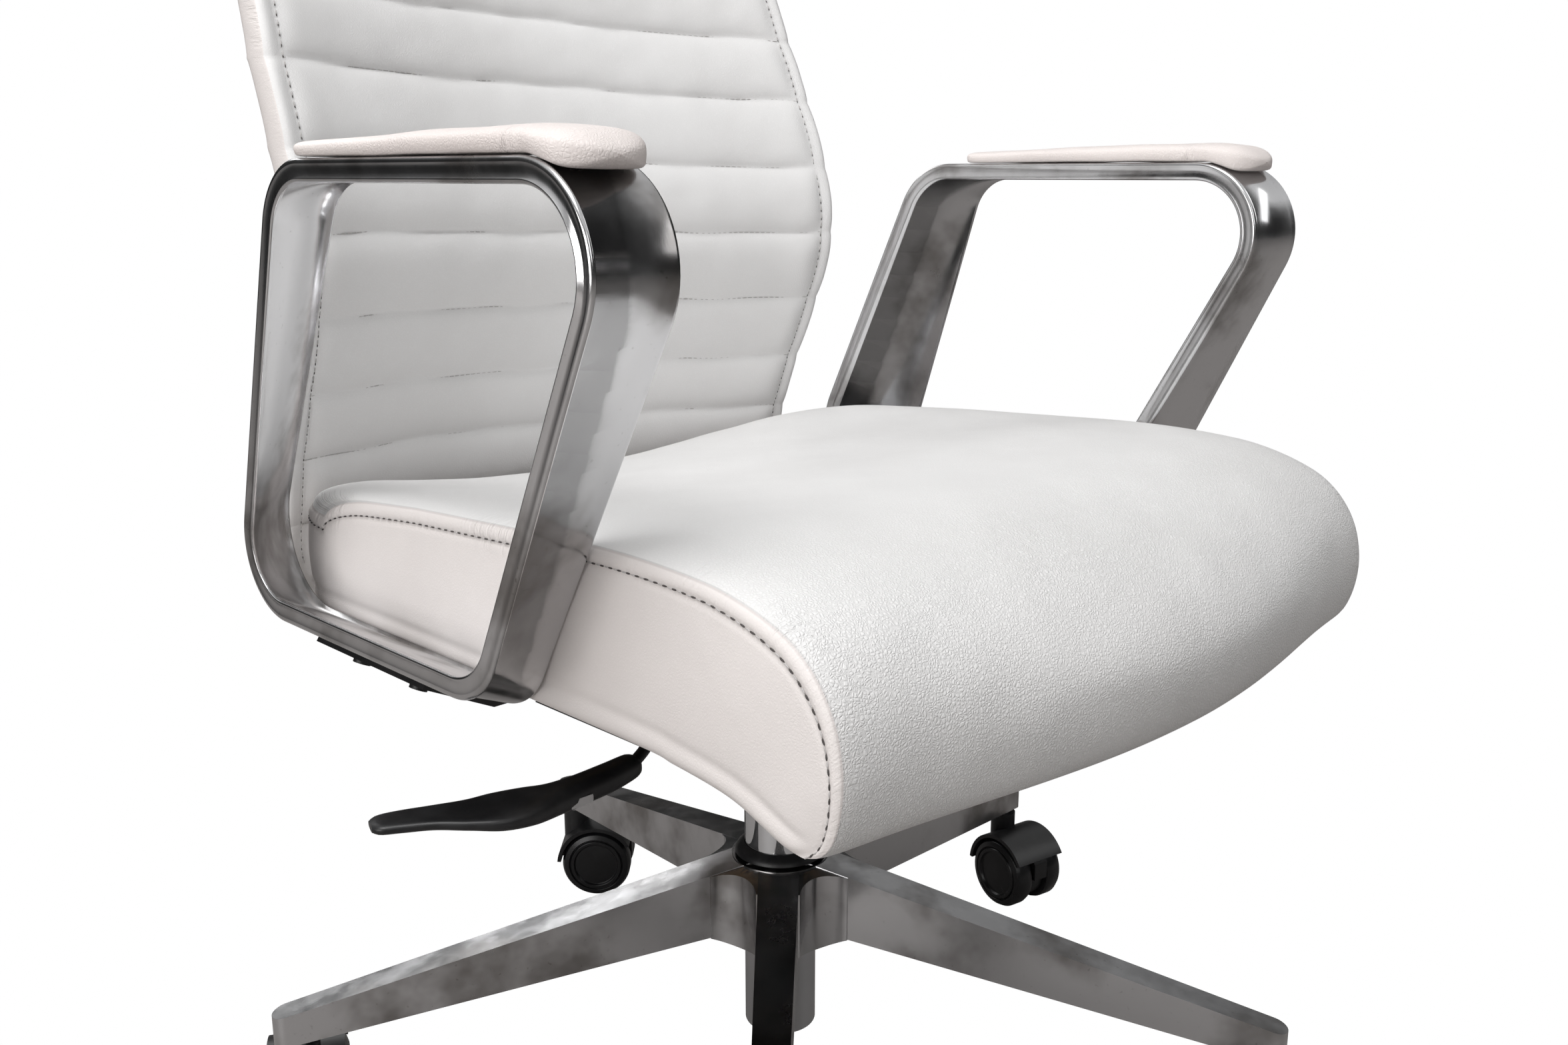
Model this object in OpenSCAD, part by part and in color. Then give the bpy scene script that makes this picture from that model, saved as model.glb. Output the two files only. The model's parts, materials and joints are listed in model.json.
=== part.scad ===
// Swivel office chair: channelled leather back and seat, twisted flat-band loop arms,
// tilt mechanism, gas lift and a five-leg cast base on twin-wheel casters.
// Millimetres. The chair faces -Y, +Z is up, and the origin is on the floor under the column.

/* [Base] */
// Radius from the column axis to the end of a leg
leg_reach = 343; // [330:1:350]
// Turn of the base, as the angle of its first leg from +X
base_turn = -136.5; // [-144:0.5:-130]
// Height of a leg's top face at its tip
leg_tip_z = 97; // [96:1:102]
// Drop of a leg's top face from the hub to the tip
leg_fall = 66; // [50:1:70]
// Depth of a leg at its tip
leg_tip_depth = 21; // [20:1:24]
// Width of a leg's top face at its tip
leg_tip_w = 18; // [17:0.5:20]
// Width of a leg's top face at the hub
leg_root_w = 29; // [26:0.5:32]

/* [Casters] */
// Diameter of a caster wheel
wheel_d = 60; // [58:1:61]
// Distance from the stem back to the axle
caster_trail = 20; // [18:1:22]
// Direction that each caster trails in, leg by leg
caster_heading = [-150, 165, -101, -45, 60];

/* [Gas lift] */
// Outside diameter of the outer tube
column_d = 50; // [48:0.5:50]
// Outside diameter of the pressure tube that slides in it
piston_d = 28; // [26:0.5:28]
// Stroke of the gas lift
lift_stroke = 90; // [70:1:90]

/* [Seat] */
// Half width of the seat
seat_half_w = 246; // [240:1:247]
// Height of the seam round the seat
seat_seam_z = 448; // [446:1:452]
// Rise of the seat's padding just inside its seam
seat_crown = 5; // [0:1:8]
// How far the seat is dished at the middle of its rear
seat_dish = 32; // [20:1:36]
// How far the seat's front lip bows forward at its middle
seat_front_bow = 24; // [10:1:30]
// How far the seat bows back at its middle, to fill the curve of the back
seat_bow = 44; // [30:1:46]

/* [Back] */
// Height of the top of the back
back_top_z = 1072; // [1000:1:1100]
// Half width of the back at the arms
back_half_w = 234; // [225:1:236]
// Depth of the back's hollow, from its sides to its middle
back_hollow = 45; // [40:1:47]

/* [Arms] */
// Thickness of the band
band_t = 12; // [10:0.5:12]
// Distance from the middle of the chair to the band's seat side
band_in_x = 250; // [250:1:252]
// Distance from the middle of the chair to the band's outer side
band_out_x = 301; // [296:1:306]
// Height of the top of the band
band_top_z = 634; // [628:1:640]

/* [Hidden] */
$fn = 48;
LEGS = [0:4];

LEATHER = [0.93, 0.91, 0.89];
ALLOY = [0.75, 0.76, 0.77];
STEEL = [0.6, 0.61, 0.63];
BLACK = [0.09, 0.09, 0.1];
PLY = [0.76, 0.6, 0.42];

// ---- Small helpers -------------------------------------------------------------------

function lerp(a, b, t) = a + (b - a) * t;

// A point on a piecewise-linear curve of [input, output] pairs, clamped at both ends
function along(curve, v, i = 0) =
    v <= curve[0][0] ? curve[0][1] :
    i >= len(curve) - 1 ? curve[len(curve) - 1][1] :
    v <= curve[i + 1][0] ?
        lerp(curve[i][1], curve[i + 1][1], (v - curve[i][0]) / (curve[i + 1][0] - curve[i][0])) :
    along(curve, v, i + 1);

// A smooth reading of the same curve, averaged over a window
function eased(curve, v, w) =
    (along(curve, v - w) + 2 * along(curve, v - w / 2) + 2 * along(curve, v)
        + 2 * along(curve, v + w / 2) + along(curve, v + w)) / 8;

// A ring's end as a strip between its first half and its second, for rings that are long and thin
function strip_end(n, start, flip) =
    [for (j = [0:n / 2 - 2])
        each [[for (p = flip ? [n - 2 - j, j + 1, j] : [j, j + 1, n - 2 - j]) start + p],
            [for (p = flip ? [n - 1 - j, n - 2 - j, j] : [j, n - 2 - j, n - 1 - j]) start + p]]];

// A closed solid through a row of rings that all have the same number of points
module skin(rings, closed = false, thin = false) {
    n = len(rings[0]);
    m = len(rings);
    sides = [for (i = [0:(closed ? m - 1 : m - 2)], j = [0:n - 1])
        let (a = i * n + j, b = i * n + (j + 1) % n,
             c = ((i + 1) % m) * n + (j + 1) % n, d = ((i + 1) % m) * n + j)
        each [[a, b, c], [a, c, d]]];
    ends = closed ? [] : thin ? concat(strip_end(n, 0, true), strip_end(n, (m - 1) * n, false)) :
        [[for (j = [n - 1:-1:0]) j], [for (j = [0:n - 1]) (m - 1) * n + j]];
    polyhedron([for (ring = rings) each ring], concat(sides, ends), convexity = 6);
}

// A straight round bar between two points
module bar(a, b, d) {
    v = b - a;
    translate(a)
        rotate([0, acos(v.z / norm(v)), atan2(v.y, v.x)])
            cylinder(h = norm(v), d = d);
}

module tube(d, bore, h) {
    difference() {
        cylinder(h = h, d = d);
        translate([0, 0, -1])
            cylinder(h = h + 2, d = bore);
    }
}

// A flat blank in the YZ plane, with its width centred on x
module blank_x(points, width, x = 0) {
    translate([x - width / 2, 0, 0])
        rotate([90, 0, 90])
            linear_extrude(width)
                polygon(points);
}

module mirror_x(side) {
    if (side < 0)
        mirror([1, 0, 0])
            children();
    else
        children();
}

// A hexagon-socket bolt: its head at z = 0 downward, its shank upward
module bolt(shank_d, shank_h, head_h = 5) {
    cylinder(h = shank_h, d = shank_d);
    difference() {
        translate([0, 0, -head_h])
            cylinder(h = head_h, d = shank_d * 1.7);
        translate([0, 0, -head_h - 1])
            cylinder(h = head_h * 0.5 + 1, d = shank_d * 0.8, $fn = 6);
    }
}

// ---- Base ----------------------------------------------------------------------------

hub_r = 38;
hub_fillet = 26;
hub_bottom_z = 106;
stem_r = leg_reach - 18;
stem_d = 11;
leg_slope = leg_fall / (leg_reach - hub_r);
leg_root_depth = 48;
wall = 4.5;

function leg_top(r) = leg_tip_z + (leg_reach - r) * leg_slope;
function leg_depth(r) = lerp(leg_root_depth, leg_tip_depth, (r - hub_r) / (leg_reach - hub_r));

// A leg's side profile between two radii, moved in from its top and bottom faces
module leg_profile(r0, r1, drop, width) {
    rotate([90, 0, 0])
        translate([0, 0, -width / 2])
            linear_extrude(width)
                polygon([[r0, leg_top(r0) - leg_depth(r0) - 1 + (drop > 0 ? 0 : 1)],
                    [r1, leg_top(r1) - leg_depth(r1) - 1 + (drop > 0 ? 0 : 1)],
                    [r1, leg_top(r1) - drop], [r0, leg_top(r0) - drop]]);
}

// A leg's outline from above, with a rounded end
module leg_plan(inset) {
    end_r = leg_tip_w / 2 - inset;
    linear_extrude(300)
        union() {
            polygon([[0, -leg_root_w / 2 + inset], [leg_reach - leg_tip_w / 2, -end_r],
                [leg_reach - leg_tip_w / 2, end_r], [0, leg_root_w / 2 - inset]]);
            translate([leg_reach - leg_tip_w / 2, 0])
                circle(end_r);
        }
}

module leg() {
    difference() {
        intersection() {
            leg_profile(0, leg_reach, 0, 80);
            leg_plan(0);
        }
        intersection() {
            leg_profile(hub_r + 12, stem_r - 11, wall, 80);
            leg_plan(wall);
        }
        translate([stem_r, 0, 0])
            cylinder(h = leg_tip_z - 3, d = stem_d + 0.06);
    }
}

// The web that rounds the corner between two legs
module hub_web() {
    half = 36;
    centre = (hub_fillet + leg_root_w / 2) / sin(half);
    reach = centre * cos(half);
    intersection() {
        rotate_extrude()
            polygon([[0, hub_bottom_z], [hub_r, hub_bottom_z], [reach, leg_top(reach) - leg_depth(reach)],
                [reach, leg_top(reach)], [hub_r - 4, leg_top(hub_r - 4)], [0, leg_top(hub_r - 4)]]);
        difference() {
            linear_extrude(300)
                polygon([[0, 0], [reach, 0], [centre * cos(half), centre * sin(half)],
                    [reach * cos(2 * half), reach * sin(2 * half)]]);
            rotate([0, 0, half])
                translate([centre, 0, -1])
                    cylinder(h = 302, r = hub_fillet);
        }
    }
}

module star_base() {
    color(ALLOY)
        rotate([0, 0, base_turn])
            difference() {
                union() {
                    for (k = LEGS)
                        rotate([0, 0, 72 * k]) {
                            leg();
                            hub_web();
                        }
                    translate([0, 0, hub_bottom_z])
                        cylinder(h = leg_top(hub_r) - hub_bottom_z + 2, r = hub_r - 4);
                }
                translate([0, 0, 50])
                    cylinder(h = 200, d = column_d + 0.04);
            }
}

// ---- Gas lift ------------------------------------------------------------------------

collar_z = leg_top(column_d / 2 * cos(36));
column_bottom_z = 36;
column_top_z = 262;
tube_top_z = 312;
tube_bottom_z = 140;
rod_d = 10;
// The piston stands high enough on its rod for the tube's lower end to rise by the stroke
piston_z = tube_bottom_z + 6 + lift_stroke + 14;

module column_collar() {
    color(BLACK)
        translate([0, 0, collar_z + 0.1])
            rotate_extrude()
                polygon([[column_d / 2 + 0.1, 0], [32, 0], [30.5, 3], [27, 6], [column_d / 2 + 0.1, 7]]);
}

module column_tube() {
    color(STEEL)
        translate([0, 0, column_bottom_z])
            difference() {
                cylinder(h = column_top_z - column_bottom_z, d = column_d);
                translate([0, 0, 3])
                    cylinder(h = 400, d = column_d - 4);
                translate([0, 0, -1])
                    cylinder(h = 10, d = rod_d + 4);
            }
}

module column_bushing() {
    color(BLACK)
        translate([0, 0, column_top_z - 60])
            difference() {
                union() {
                    cylinder(h = 60, d = column_d - 4.04);
                    translate([0, 0, 60.1])
                        cylinder(h = 3, d = column_d - 1);
                    cylinder(h = 62, d = column_d - 6);
                }
                translate([0, 0, -1])
                    cylinder(h = 80, d = piston_d + 0.1);
            }
}

module column_clip() {
    color(STEEL)
        translate([0, 0, column_bottom_z - 5])
            tube(20, rod_d - 2 + 0.04, 1.5);
}

module thrust_bearing() {
    color(STEEL)
        translate([0, 0, column_bottom_z + 3.1])
            difference() {
                cylinder(h = 5, d = 34);
                translate([0, 0, -1])
                    cylinder(h = 7, d = rod_d + 0.1);
            }
}

module piston_rod() {
    color(STEEL) {
        translate([0, 0, column_bottom_z - 2])
            cylinder(h = piston_z + 10 - column_bottom_z, d = rod_d);
        translate([0, 0, column_bottom_z - 6])
            cylinder(h = 4, d = rod_d - 2);
        translate([0, 0, column_bottom_z + 8.3])
            cylinder(h = 4, d = 22);
        translate([0, 0, piston_z])
            cylinder(h = 8, d = piston_d - 4.1);
    }
}

module pressure_tube() {
    color(STEEL)
        difference() {
            translate([0, 0, tube_bottom_z])
                cylinder(h = tube_top_z - tube_bottom_z, d = piston_d);
            translate([0, 0, tube_bottom_z + 6])
                cylinder(h = tube_top_z - tube_bottom_z - 14, d = piston_d - 4);
            translate([0, 0, tube_bottom_z - 1])
                cylinder(h = 10, d = rod_d + 0.1);
            translate([0, 0, tube_top_z - 12])
                cylinder(h = 20, d = 8.1);
        }
}

module release_button() {
    color(BLACK)
        translate([0, 0, tube_top_z - 5])
            cylinder(h = 11, d = 8);
}

// ---- Tilt mechanism ------------------------------------------------------------------

housing_half_w = 68;
housing_floor_z = 290;
pivot = [0, -60, 325];
plate_z = 345.5;
plate_t = 4;
tension_y = -92;
spring_d = 34;
wire_d = 5;
knob_z = 238;
lever_z = 322.3;
fulcrum_x = -36;

module tilt_housing() {
    color(BLACK)
        difference() {
            union() {
                difference() {
                    blank_x([[-112, housing_floor_z], [60, housing_floor_z], [76, 298], [76, 302],
                        [40, 314], [12, 326], [-36, 337], [-84, 337], [-112, 326]], 2 * housing_half_w);
                    translate([-housing_half_w + 3, -109, housing_floor_z + 3])
                        cube([2 * housing_half_w - 6, 182, 80]);
                }
                translate([0, 0, housing_floor_z - 6])
                    cylinder(h = 24, d = 46);
            }
            translate([0, 0, housing_floor_z - 20])
                cylinder(h = 60, d = piston_d + 0.04);
            translate([-100, pivot.y, pivot.z])
                rotate([0, 90, 0])
                    cylinder(h = 200, d = 12.04);
            translate([-10, tension_y - 15, housing_floor_z - 5])
                cube([20, 29, 12]);
            translate([-housing_half_w - 2, -8, lever_z - 8])
                cube([8, 16, 30]);
        }
}

module tilt_pin() {
    color(STEEL) {
        translate([-housing_half_w - 14, pivot.y, pivot.z])
            rotate([0, 90, 0])
                cylinder(h = 2 * housing_half_w + 28, d = 12);
        for (x = [-housing_half_w - 17, housing_half_w + 12])
            translate([x, pivot.y, pivot.z])
                rotate([0, 90, 0])
                    cylinder(h = 5, d = 18);
    }
}

spring_turns = 5;
spring_h = housing_floor_z - 0.4 - knob_z - 22.6 - wire_d;

// The points of a circle of wire that is swept up a helix
function wire_ring(turn, sides = 10) =
    let (at = [cos(turn), sin(turn), 0], up = [0, 0, 1],
         centre = at * (spring_d - wire_d) / 2 + up * (turn / 360 / spring_turns * spring_h))
    [for (s = [0:sides - 1])
        centre + at * (wire_d / 2 * cos(s * 360 / sides)) + up * (wire_d / 2 * sin(s * 360 / sides))];

module tension_spring() {
    color(STEEL)
        translate([0, tension_y, knob_z + 22.6 + wire_d / 2])
            skin([for (turn = [0:20:360 * spring_turns]) wire_ring(turn)]);
}

module tension_bolt() {
    color(STEEL) {
        translate([0, tension_y, knob_z + 6])
            cylinder(h = plate_z - knob_z - 6, d = 8);
        translate([0, tension_y, plate_z - 6])
            cylinder(h = 6, d = 16, $fn = 6);
        translate([0, tension_y, knob_z + 20.2])
            cylinder(h = 2, d = 38);
    }
}

module tension_knob() {
    color(BLACK)
        translate([0, tension_y, knob_z])
            difference() {
                union() {
                    cylinder(h = 20, d = 42);
                    for (a = [0:45:315])
                        rotate([0, 0, a])
                            translate([20, 0, 0])
                                cylinder(h = 18, d = 9);
                }
                translate([0, 0, 6 - 0.1])
                    cylinder(h = 30, d = 8.1);
            }
}

// ---- Lever ---------------------------------------------------------------------------

module lock_slider() {
    color(BLACK)
        difference() {
            translate([fulcrum_x - 8, -10, housing_floor_z + 3.3])
                cube([16, 20, lever_z + 5 - housing_floor_z - 3.3]);
            translate([fulcrum_x - 20, -3.9, lever_z - 6])
                cube([40, 7.8, 20]);
            translate([fulcrum_x, -20, lever_z])
                rotate([-90, 0, 0])
                    cylinder(h = 40, d = 4.1);
        }
}

lever_d = 7;
lever_path = [[4, 0, lever_z], [-92, 0, lever_z], [-104, -4, lever_z - 0.6], [-128, -22, lever_z - 3],
    [-144, -37, lever_z - 9], [-158, -50, 305], [-180, -62, 302]];

// A circle of the rod across its path at point i
function rod_ring(i, sides = 12) =
    let (last = len(lever_path) - 1, way = unit(lever_path[min(i + 1, last)] - lever_path[max(i - 1, 0)]),
         across = unit(cross(way, [0, 0, 1])), up = cross(across, way))
    [for (s = [0:sides - 1])
        lever_path[i] + (across * cos(s * 360 / sides) + up * sin(s * 360 / sides)) * lever_d / 2];

module lever_rod() {
    color(BLACK) {
        skin([for (i = [0:len(lever_path) - 1]) rod_ring(i)]);
        translate([fulcrum_x, -9, lever_z])
            rotate([-90, 0, 0])
                cylinder(h = 18, d = 4);
    }
}

module lever_handle() {
    outline = [[-168, -58], [-178, -45], [-229, -47], [-260, -38], [-284, -27], [-316, -18], [-323, -22],
        [-322, -40], [-315, -44], [-294, -55], [-284, -72], [-270, -83], [-204, -81], [-186, -77]];
    color(BLACK)
        difference() {
            translate([0, 0, 296])
                linear_extrude(11)
                    polygon(outline);
            bar(lever_path[5], lever_path[6] + (lever_path[6] - lever_path[5]) * 0.02, lever_d + 0.04);
        }
}

// ---- Seat ----------------------------------------------------------------------------

board_z = 350;
board_t = 11.5;
seat_bottom_z = board_z + board_t + 0.3;
seat_front_y = -282;
seat_rear_y = 204;
seat_corner = 58;
seat_round = 84;
seat_lip_z = 338;

// How far the crown and the bow have come at x, from 0 at the sides to 1 in the middle
function bowed(x) = 1 - pow(abs(x) / seat_half_w, 2);
function crowned(x) = 1 - pow(abs(x) / seat_half_w, 3);

// The rear end of the seat at x: bowed, with rounded corners in plan
function rear_end(x) =
    let (over = max(0, abs(x) - (seat_half_w - seat_corner)))
    seat_rear_y + seat_bow * bowed(x) - (seat_corner - sqrt(pow(seat_corner, 2) - pow(over, 2)));

// The seat's outline at x, from the underside's front edge over the top and back beneath
function seat_ring(x) =
    let (rear = rear_end(x), crown = seat_crown * crowned(x), dish = seat_dish * bowed(x),
         bow = 6 * crowned(x) + seat_front_bow * pow(bowed(x), 2), top = seat_seam_z, r = seat_round)
    concat(
        [[x, seat_front_y + 32 - bow, seat_lip_z + 2], [x, seat_front_y + 16 - bow, seat_lip_z - 2],
         [x, seat_front_y + 4 - bow, seat_lip_z + 12],
         [x, seat_front_y - bow, seat_lip_z + 34]],
        [for (a = [0:15:90])
            [x, seat_front_y + r - (r + bow * cos(a)) * cos(a), top - r + r * sin(a) + crown * pow(sin(a), 2)]],
        [for (t = [0.15:0.17:0.84])
            [x, lerp(seat_front_y + r, rear - 26, t), top - 8 * t + crown - dish * pow(t, 1.7)]],
        [for (a = [90:-30:0])
            [x, rear - 26 + 26 * cos(a), top - 8 - 26 + 26 * sin(a) + (crown - dish) * pow(sin(a), 2)
                - dish * 0.4 * pow(cos(a), 2)]],
        [[x, rear, seat_bottom_z + 6], [x, rear - 8, seat_bottom_z], [x, seat_front_y + 46, seat_bottom_z]]);

module seat_cushion() {
    steps = [-1, -0.97, -0.91, -0.83, -0.74, -0.6, -0.4, -0.2, 0, 0.2, 0.4, 0.6, 0.74, 0.83, 0.91, 0.97, 1];
    color(LEATHER)
        skin([for (s = steps) seat_ring(s * (seat_half_w - 0.2))]);
}

// A seat board's outline, moved in from the cushion's edge
function board_outline(inset) =
    let (w = seat_half_w - inset)
    concat(
        [[-w + 14, seat_front_y + 48], [w - 14, seat_front_y + 48], [w, seat_front_y + 62]],
        [for (s = [1:-0.125:-1]) [s * w, rear_end(s * w) - inset]],
        [[-w, seat_front_y + 62]]);

module seat_board() {
    color(PLY)
        difference() {
            translate([0, 0, board_z])
                linear_extrude(board_t)
                    polygon(board_outline(17));
            seat_bolt_places()
                cylinder(h = 60, d = 6.04, center = true);
            for (side = [-1, 1])
                mirror_x(side)
                    arm_board_bolt_places()
                        cylinder(h = 60, d = 6.04, center = true);
            back_board_bolt_places()
                cylinder(h = 60, d = 6.04, center = true);
        }
}

module dust_cover() {
    color(BLACK)
        difference() {
            translate([0, 0, board_z - 1.6])
                linear_extrude(1.5)
                    polygon(board_outline(15));
            translate([-84, -128, board_z - 10])
                cube([168, 400, 20]);
            for (side = [-1, 1])
                mirror_x(side)
                    translate([150, -45, board_z - 10])
                        cube([120, 145, 20]);
        }
}

module seat_plate() {
    ear = [[-84, plate_z + 1], [-84, 318], [-74, 308], [-46, 308], [-36, 318], [-36, plate_z + 1]];
    color(BLACK)
        difference() {
            union() {
                translate([-80, -122, plate_z])
                    cube([160, 236, plate_t]);
                for (side = [-1, 1])
                    blank_x(ear, 4, side * (housing_half_w + 4));
            }
            translate([-100, pivot.y, pivot.z])
                rotate([0, 90, 0])
                    cylinder(h = 200, d = 12.1);
            translate([0, tension_y, plate_z - 1])
                cylinder(h = 20, d = 8.04);
            seat_bolt_places()
                cylinder(h = 40, d = 6.04, center = true);
        }
}

// The places of the bolts, at the underside of the plate that each set holds
module seat_bolt_places() {
    for (x = [-60, 60], y = [-108, 56])
        translate([x, y, plate_z])
            children();
}

module arm_board_bolt_places() {
    for (y = [-15, 70])
        translate([195, y, plate_z])
            children();
}

module back_board_bolt_places() {
    for (x = [-18, 18])
        translate([x, 165, plate_z])
            children();
}

module seat_bolts() {
    color(STEEL) {
        seat_bolt_places()
            bolt(6, 15);
        back_board_bolt_places()
            bolt(6, 15);
    }
}

// ---- Back ----------------------------------------------------------------------------

back_bottom_z = 338;
back_t = 24;
shell_t = 9;
cover_t = 9;
layer_gap = 0.3;

// The lean of the back: where its front edge stands at each height
lean = [[338, 243], [433, 224], [473, 208], [524, 186], [555, 174], [590, 169], [633, 179],
    [684, 198], [728, 214], [900, 269], [1100, 318]];
// The half width of the back at each height, as a share of its greatest
taper = [[338, 0.985], [480, 0.99], [580, 1], [690, 1], [765, 0.965], [1100, 0.83]];

function back_width(z, inset) =
    let (top_r = 62, low_r = 46,
         over = max(0, z - (back_top_z - top_r)), under = max(0, back_bottom_z + low_r - z))
    back_half_w * eased(taper, z, 40) - inset
        - (top_r - sqrt(max(0, pow(top_r, 2) - pow(over, 2))))
        - (low_r - sqrt(max(0, pow(low_r, 2) - pow(under, 2))));

function back_face(x, z) =
    eased(lean, z, 26) + back_hollow * (1 - pow(abs(x) / back_half_w, 2));

// One ring of a layer of the back, from its front line round to its rear line.
// The pocket is a recess in its rear, low in the middle, that the strap lies in.
function back_ring(z, front, rear, inset, pocket) =
    let (w = max(20, back_width(z, inset)), n = 6)
    concat(
        [for (i = [-n:n]) [w * i / n, back_face(w * i / n, z) + front, z]],
        [for (i = [n:-1:-n])
            [w * i / n, back_face(w * i / n, z) + rear - (abs(i) < 2 && z < 440 ? pocket : 0), z]]);

function layer_heights(inset) =
    let (z0 = back_bottom_z + inset, z1 = back_top_z - inset)
    concat([z0], inset > 0 ? [] : [z0 + 4],
        [z0 + 12, z0 + 26, z0 + 46, 433, 473, 500, 524, 548, 572, 596, 620, 646, 684, 728,
            790, 850, 910, 960, z1 - 62, z1 - 36, z1 - 18],
        inset > 0 ? [z1 - 4] : [z1 - 6, z1 - 1]);

module back_layer(front, rear, inset, pocket = 0) {
    skin([for (z = layer_heights(inset)) back_ring(z, front, rear, inset, pocket)], thin = true);
}

// The bolts that hold the back's shell to its bracket
module back_bolt_places() {
    for (x = [-18, 18], z = [370, 394])
        translate([x, strap_y(z) + 1, z])
            rotate([-90, 0, 0])
                children();
}

module back_cushion() {
    color(LEATHER)
        back_layer(0, back_t, 0, pocket = 6);
}

module back_shell() {
    color(PLY)
        difference() {
            back_layer(back_t + layer_gap, back_t + layer_gap + shell_t, 16);
            translate([0, -10, 0])
                back_bolt_places()
                    cylinder(h = 60, d = 6.04);
        }
}

module back_cover() {
    start = back_t + shell_t + 2 * layer_gap;
    color(LEATHER)
        back_layer(start, start + cover_t, 12);
}

// The front face of the strap where it rises behind the cushion
function strap_y(z) = 306.1 - (z - back_bottom_z) * 0.188;
strap_t = 3.6;
strap_top_z = 404;
strap_low_z = 331;

// A bent steel strap: under the board, beneath the back's lower edge, and up behind the cushion
module back_bracket() {
    side = [[120, plate_z], [226, plate_z], [240, strap_low_z], [strap_y(strap_low_z) + strap_t, strap_low_z],
        [strap_y(strap_top_z) + strap_t, strap_top_z], [strap_y(strap_top_z), strap_top_z],
        [strap_y(strap_low_z + plate_t), strap_low_z + plate_t], [242, strap_low_z + plate_t],
        [228, plate_z + plate_t], [120, plate_z + plate_t]];
    color(BLACK)
        difference() {
            blank_x(side, 60);
            back_board_bolt_places()
                cylinder(h = 40, d = 6.04, center = true);
            translate([0, -20, 0])
                back_bolt_places()
                    cylinder(h = 60, d = 6.04);
        }
}

module back_bolts() {
    color(STEEL)
        back_bolt_places()
            cylinder(h = 11, d = 6);
}

// ---- Arms ----------------------------------------------------------------------------

// Each edge of the band is a loop in the YZ plane: four corners with their radii.
// The seat-side loop is larger at the back and the bottom, which gives the band its twist.
outer_loop = [[[-226, band_top_z], 48], [[-102, 378], 44], [[157, 378], 42], [[75.5, band_top_z], 45]];
inner_loop = [[[-228, band_top_z], 48], [[-69, 354], 46], [[233, 354], 60], [[99, band_top_z], 50]];
corner_steps = 12;
side_steps = 4;

function unit(v) = v / norm(v);

// The points of one rounded corner, each with the loop's outward normal
function corner_points(prev, at, next, r) =
    let (a = unit(prev - at), b = unit(next - at), half = acos(a * b) / 2,
         centre = at + unit(a + b) * (r / sin(half)),
         start = atan2((at + a * r / tan(half) - centre).y, (at + a * r / tan(half) - centre).x),
         turn = 180 - 2 * half)
    [for (i = [0:corner_steps])
        let (angle = start + turn * i / corner_steps, out = [cos(angle), sin(angle)])
        [centre + out * r, out]];

// A whole loop: its corners, with the straight sides between them divided evenly
function loop_points(loop) =
    let (n = len(loop),
         corners = [for (i = [0:n - 1])
             corner_points(loop[(i + n - 1) % n][0], loop[i][0], loop[(i + 1) % n][0], loop[i][1])])
    [for (i = [0:n - 1])
        let (last = corners[i][corner_steps], first = corners[(i + 1) % n][0])
        each concat(corners[i],
            [for (s = [1:side_steps - 1])
                [lerp(last[0], first[0], s / side_steps), last[1]]])];

// One section across the band, with its long edges eased
function band_section(out_edge, in_edge) =
    let (ease = 2.6 / (band_out_x - band_in_x), rim = 2.6 / band_t,
         at = function (u, v)
             let (p = lerp(out_edge[0], in_edge[0], u),
                  n = unit(lerp(out_edge[1], in_edge[1], u)), q = p - n * (v * band_t))
             [lerp(band_out_x, band_in_x, u), q.x, q.y])
    [at(0, rim), at(0, 1 - rim), at(ease, 1), at(1 - ease, 1),
        at(1, 1 - rim), at(1, rim), at(1 - ease, 0), at(ease, 0)];

module arm_loop() {
    outer = loop_points(outer_loop);
    inner = loop_points(inner_loop);
    skin([for (i = [0:len(outer) - 1]) band_section(outer[i], inner[i])], closed = true);
}

module arm(side) {
    color(ALLOY)
        mirror_x(side)
            difference() {
                arm_loop();
                arm_flange_bolt_places()
                    translate([0, 0, -20])
                        cylinder(h = 28, d = 6.04);
            }
}

// The pad tops the band, and its front end overhangs the bend
module arm_pad(side) {
    z = band_top_z + 0.3;
    profile = [[-183, z - 5], [-173, z - 4.6], [-163, z - 1.6], [-153, z - 0.1], [-148, z],
        [52, z], [57, z + 3], [52, z + 8],
        [-60, z + 11], [-120, z + 12], [-165, z + 12], [-184, z + 9], [-190, z + 3], [-189, z - 2]];
    plan_w = 52;
    mid_x = (band_in_x + band_out_x) / 2 - 0.5;
    color(LEATHER)
        mirror_x(side)
            intersection() {
                blank_x(profile, plan_w + 10, mid_x);
                translate([mid_x, 0, 0])
                    linear_extrude(700)
                        union() {
                            translate([-plan_w / 2, -176])
                                square([plan_w, 214]);
                            translate([-plan_w / 2 + 14, -190])
                                square([plan_w - 28, 247]);
                            for (x = [-plan_w / 2 + 14, plan_w / 2 - 14])
                                translate([x, -176])
                                    circle(14);
                            for (x = [-plan_w / 2 + 19, plan_w / 2 - 19])
                                translate([x, 38])
                                    circle(19);
                        }
            }
}

flange_slope = atan((378 - 354) / (band_out_x - band_in_x));
flange_top = [band_in_x + 2, 353.6];

// Across the band, from the middle of its underside, square to its slope
module arm_flange_bolt_places() {
    for (y = [0, 60])
        translate([band_in_x + 22, y, flange_top.y + 20 * tan(flange_slope)])
            rotate([0, -flange_slope, 0])
                children();
}

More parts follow.
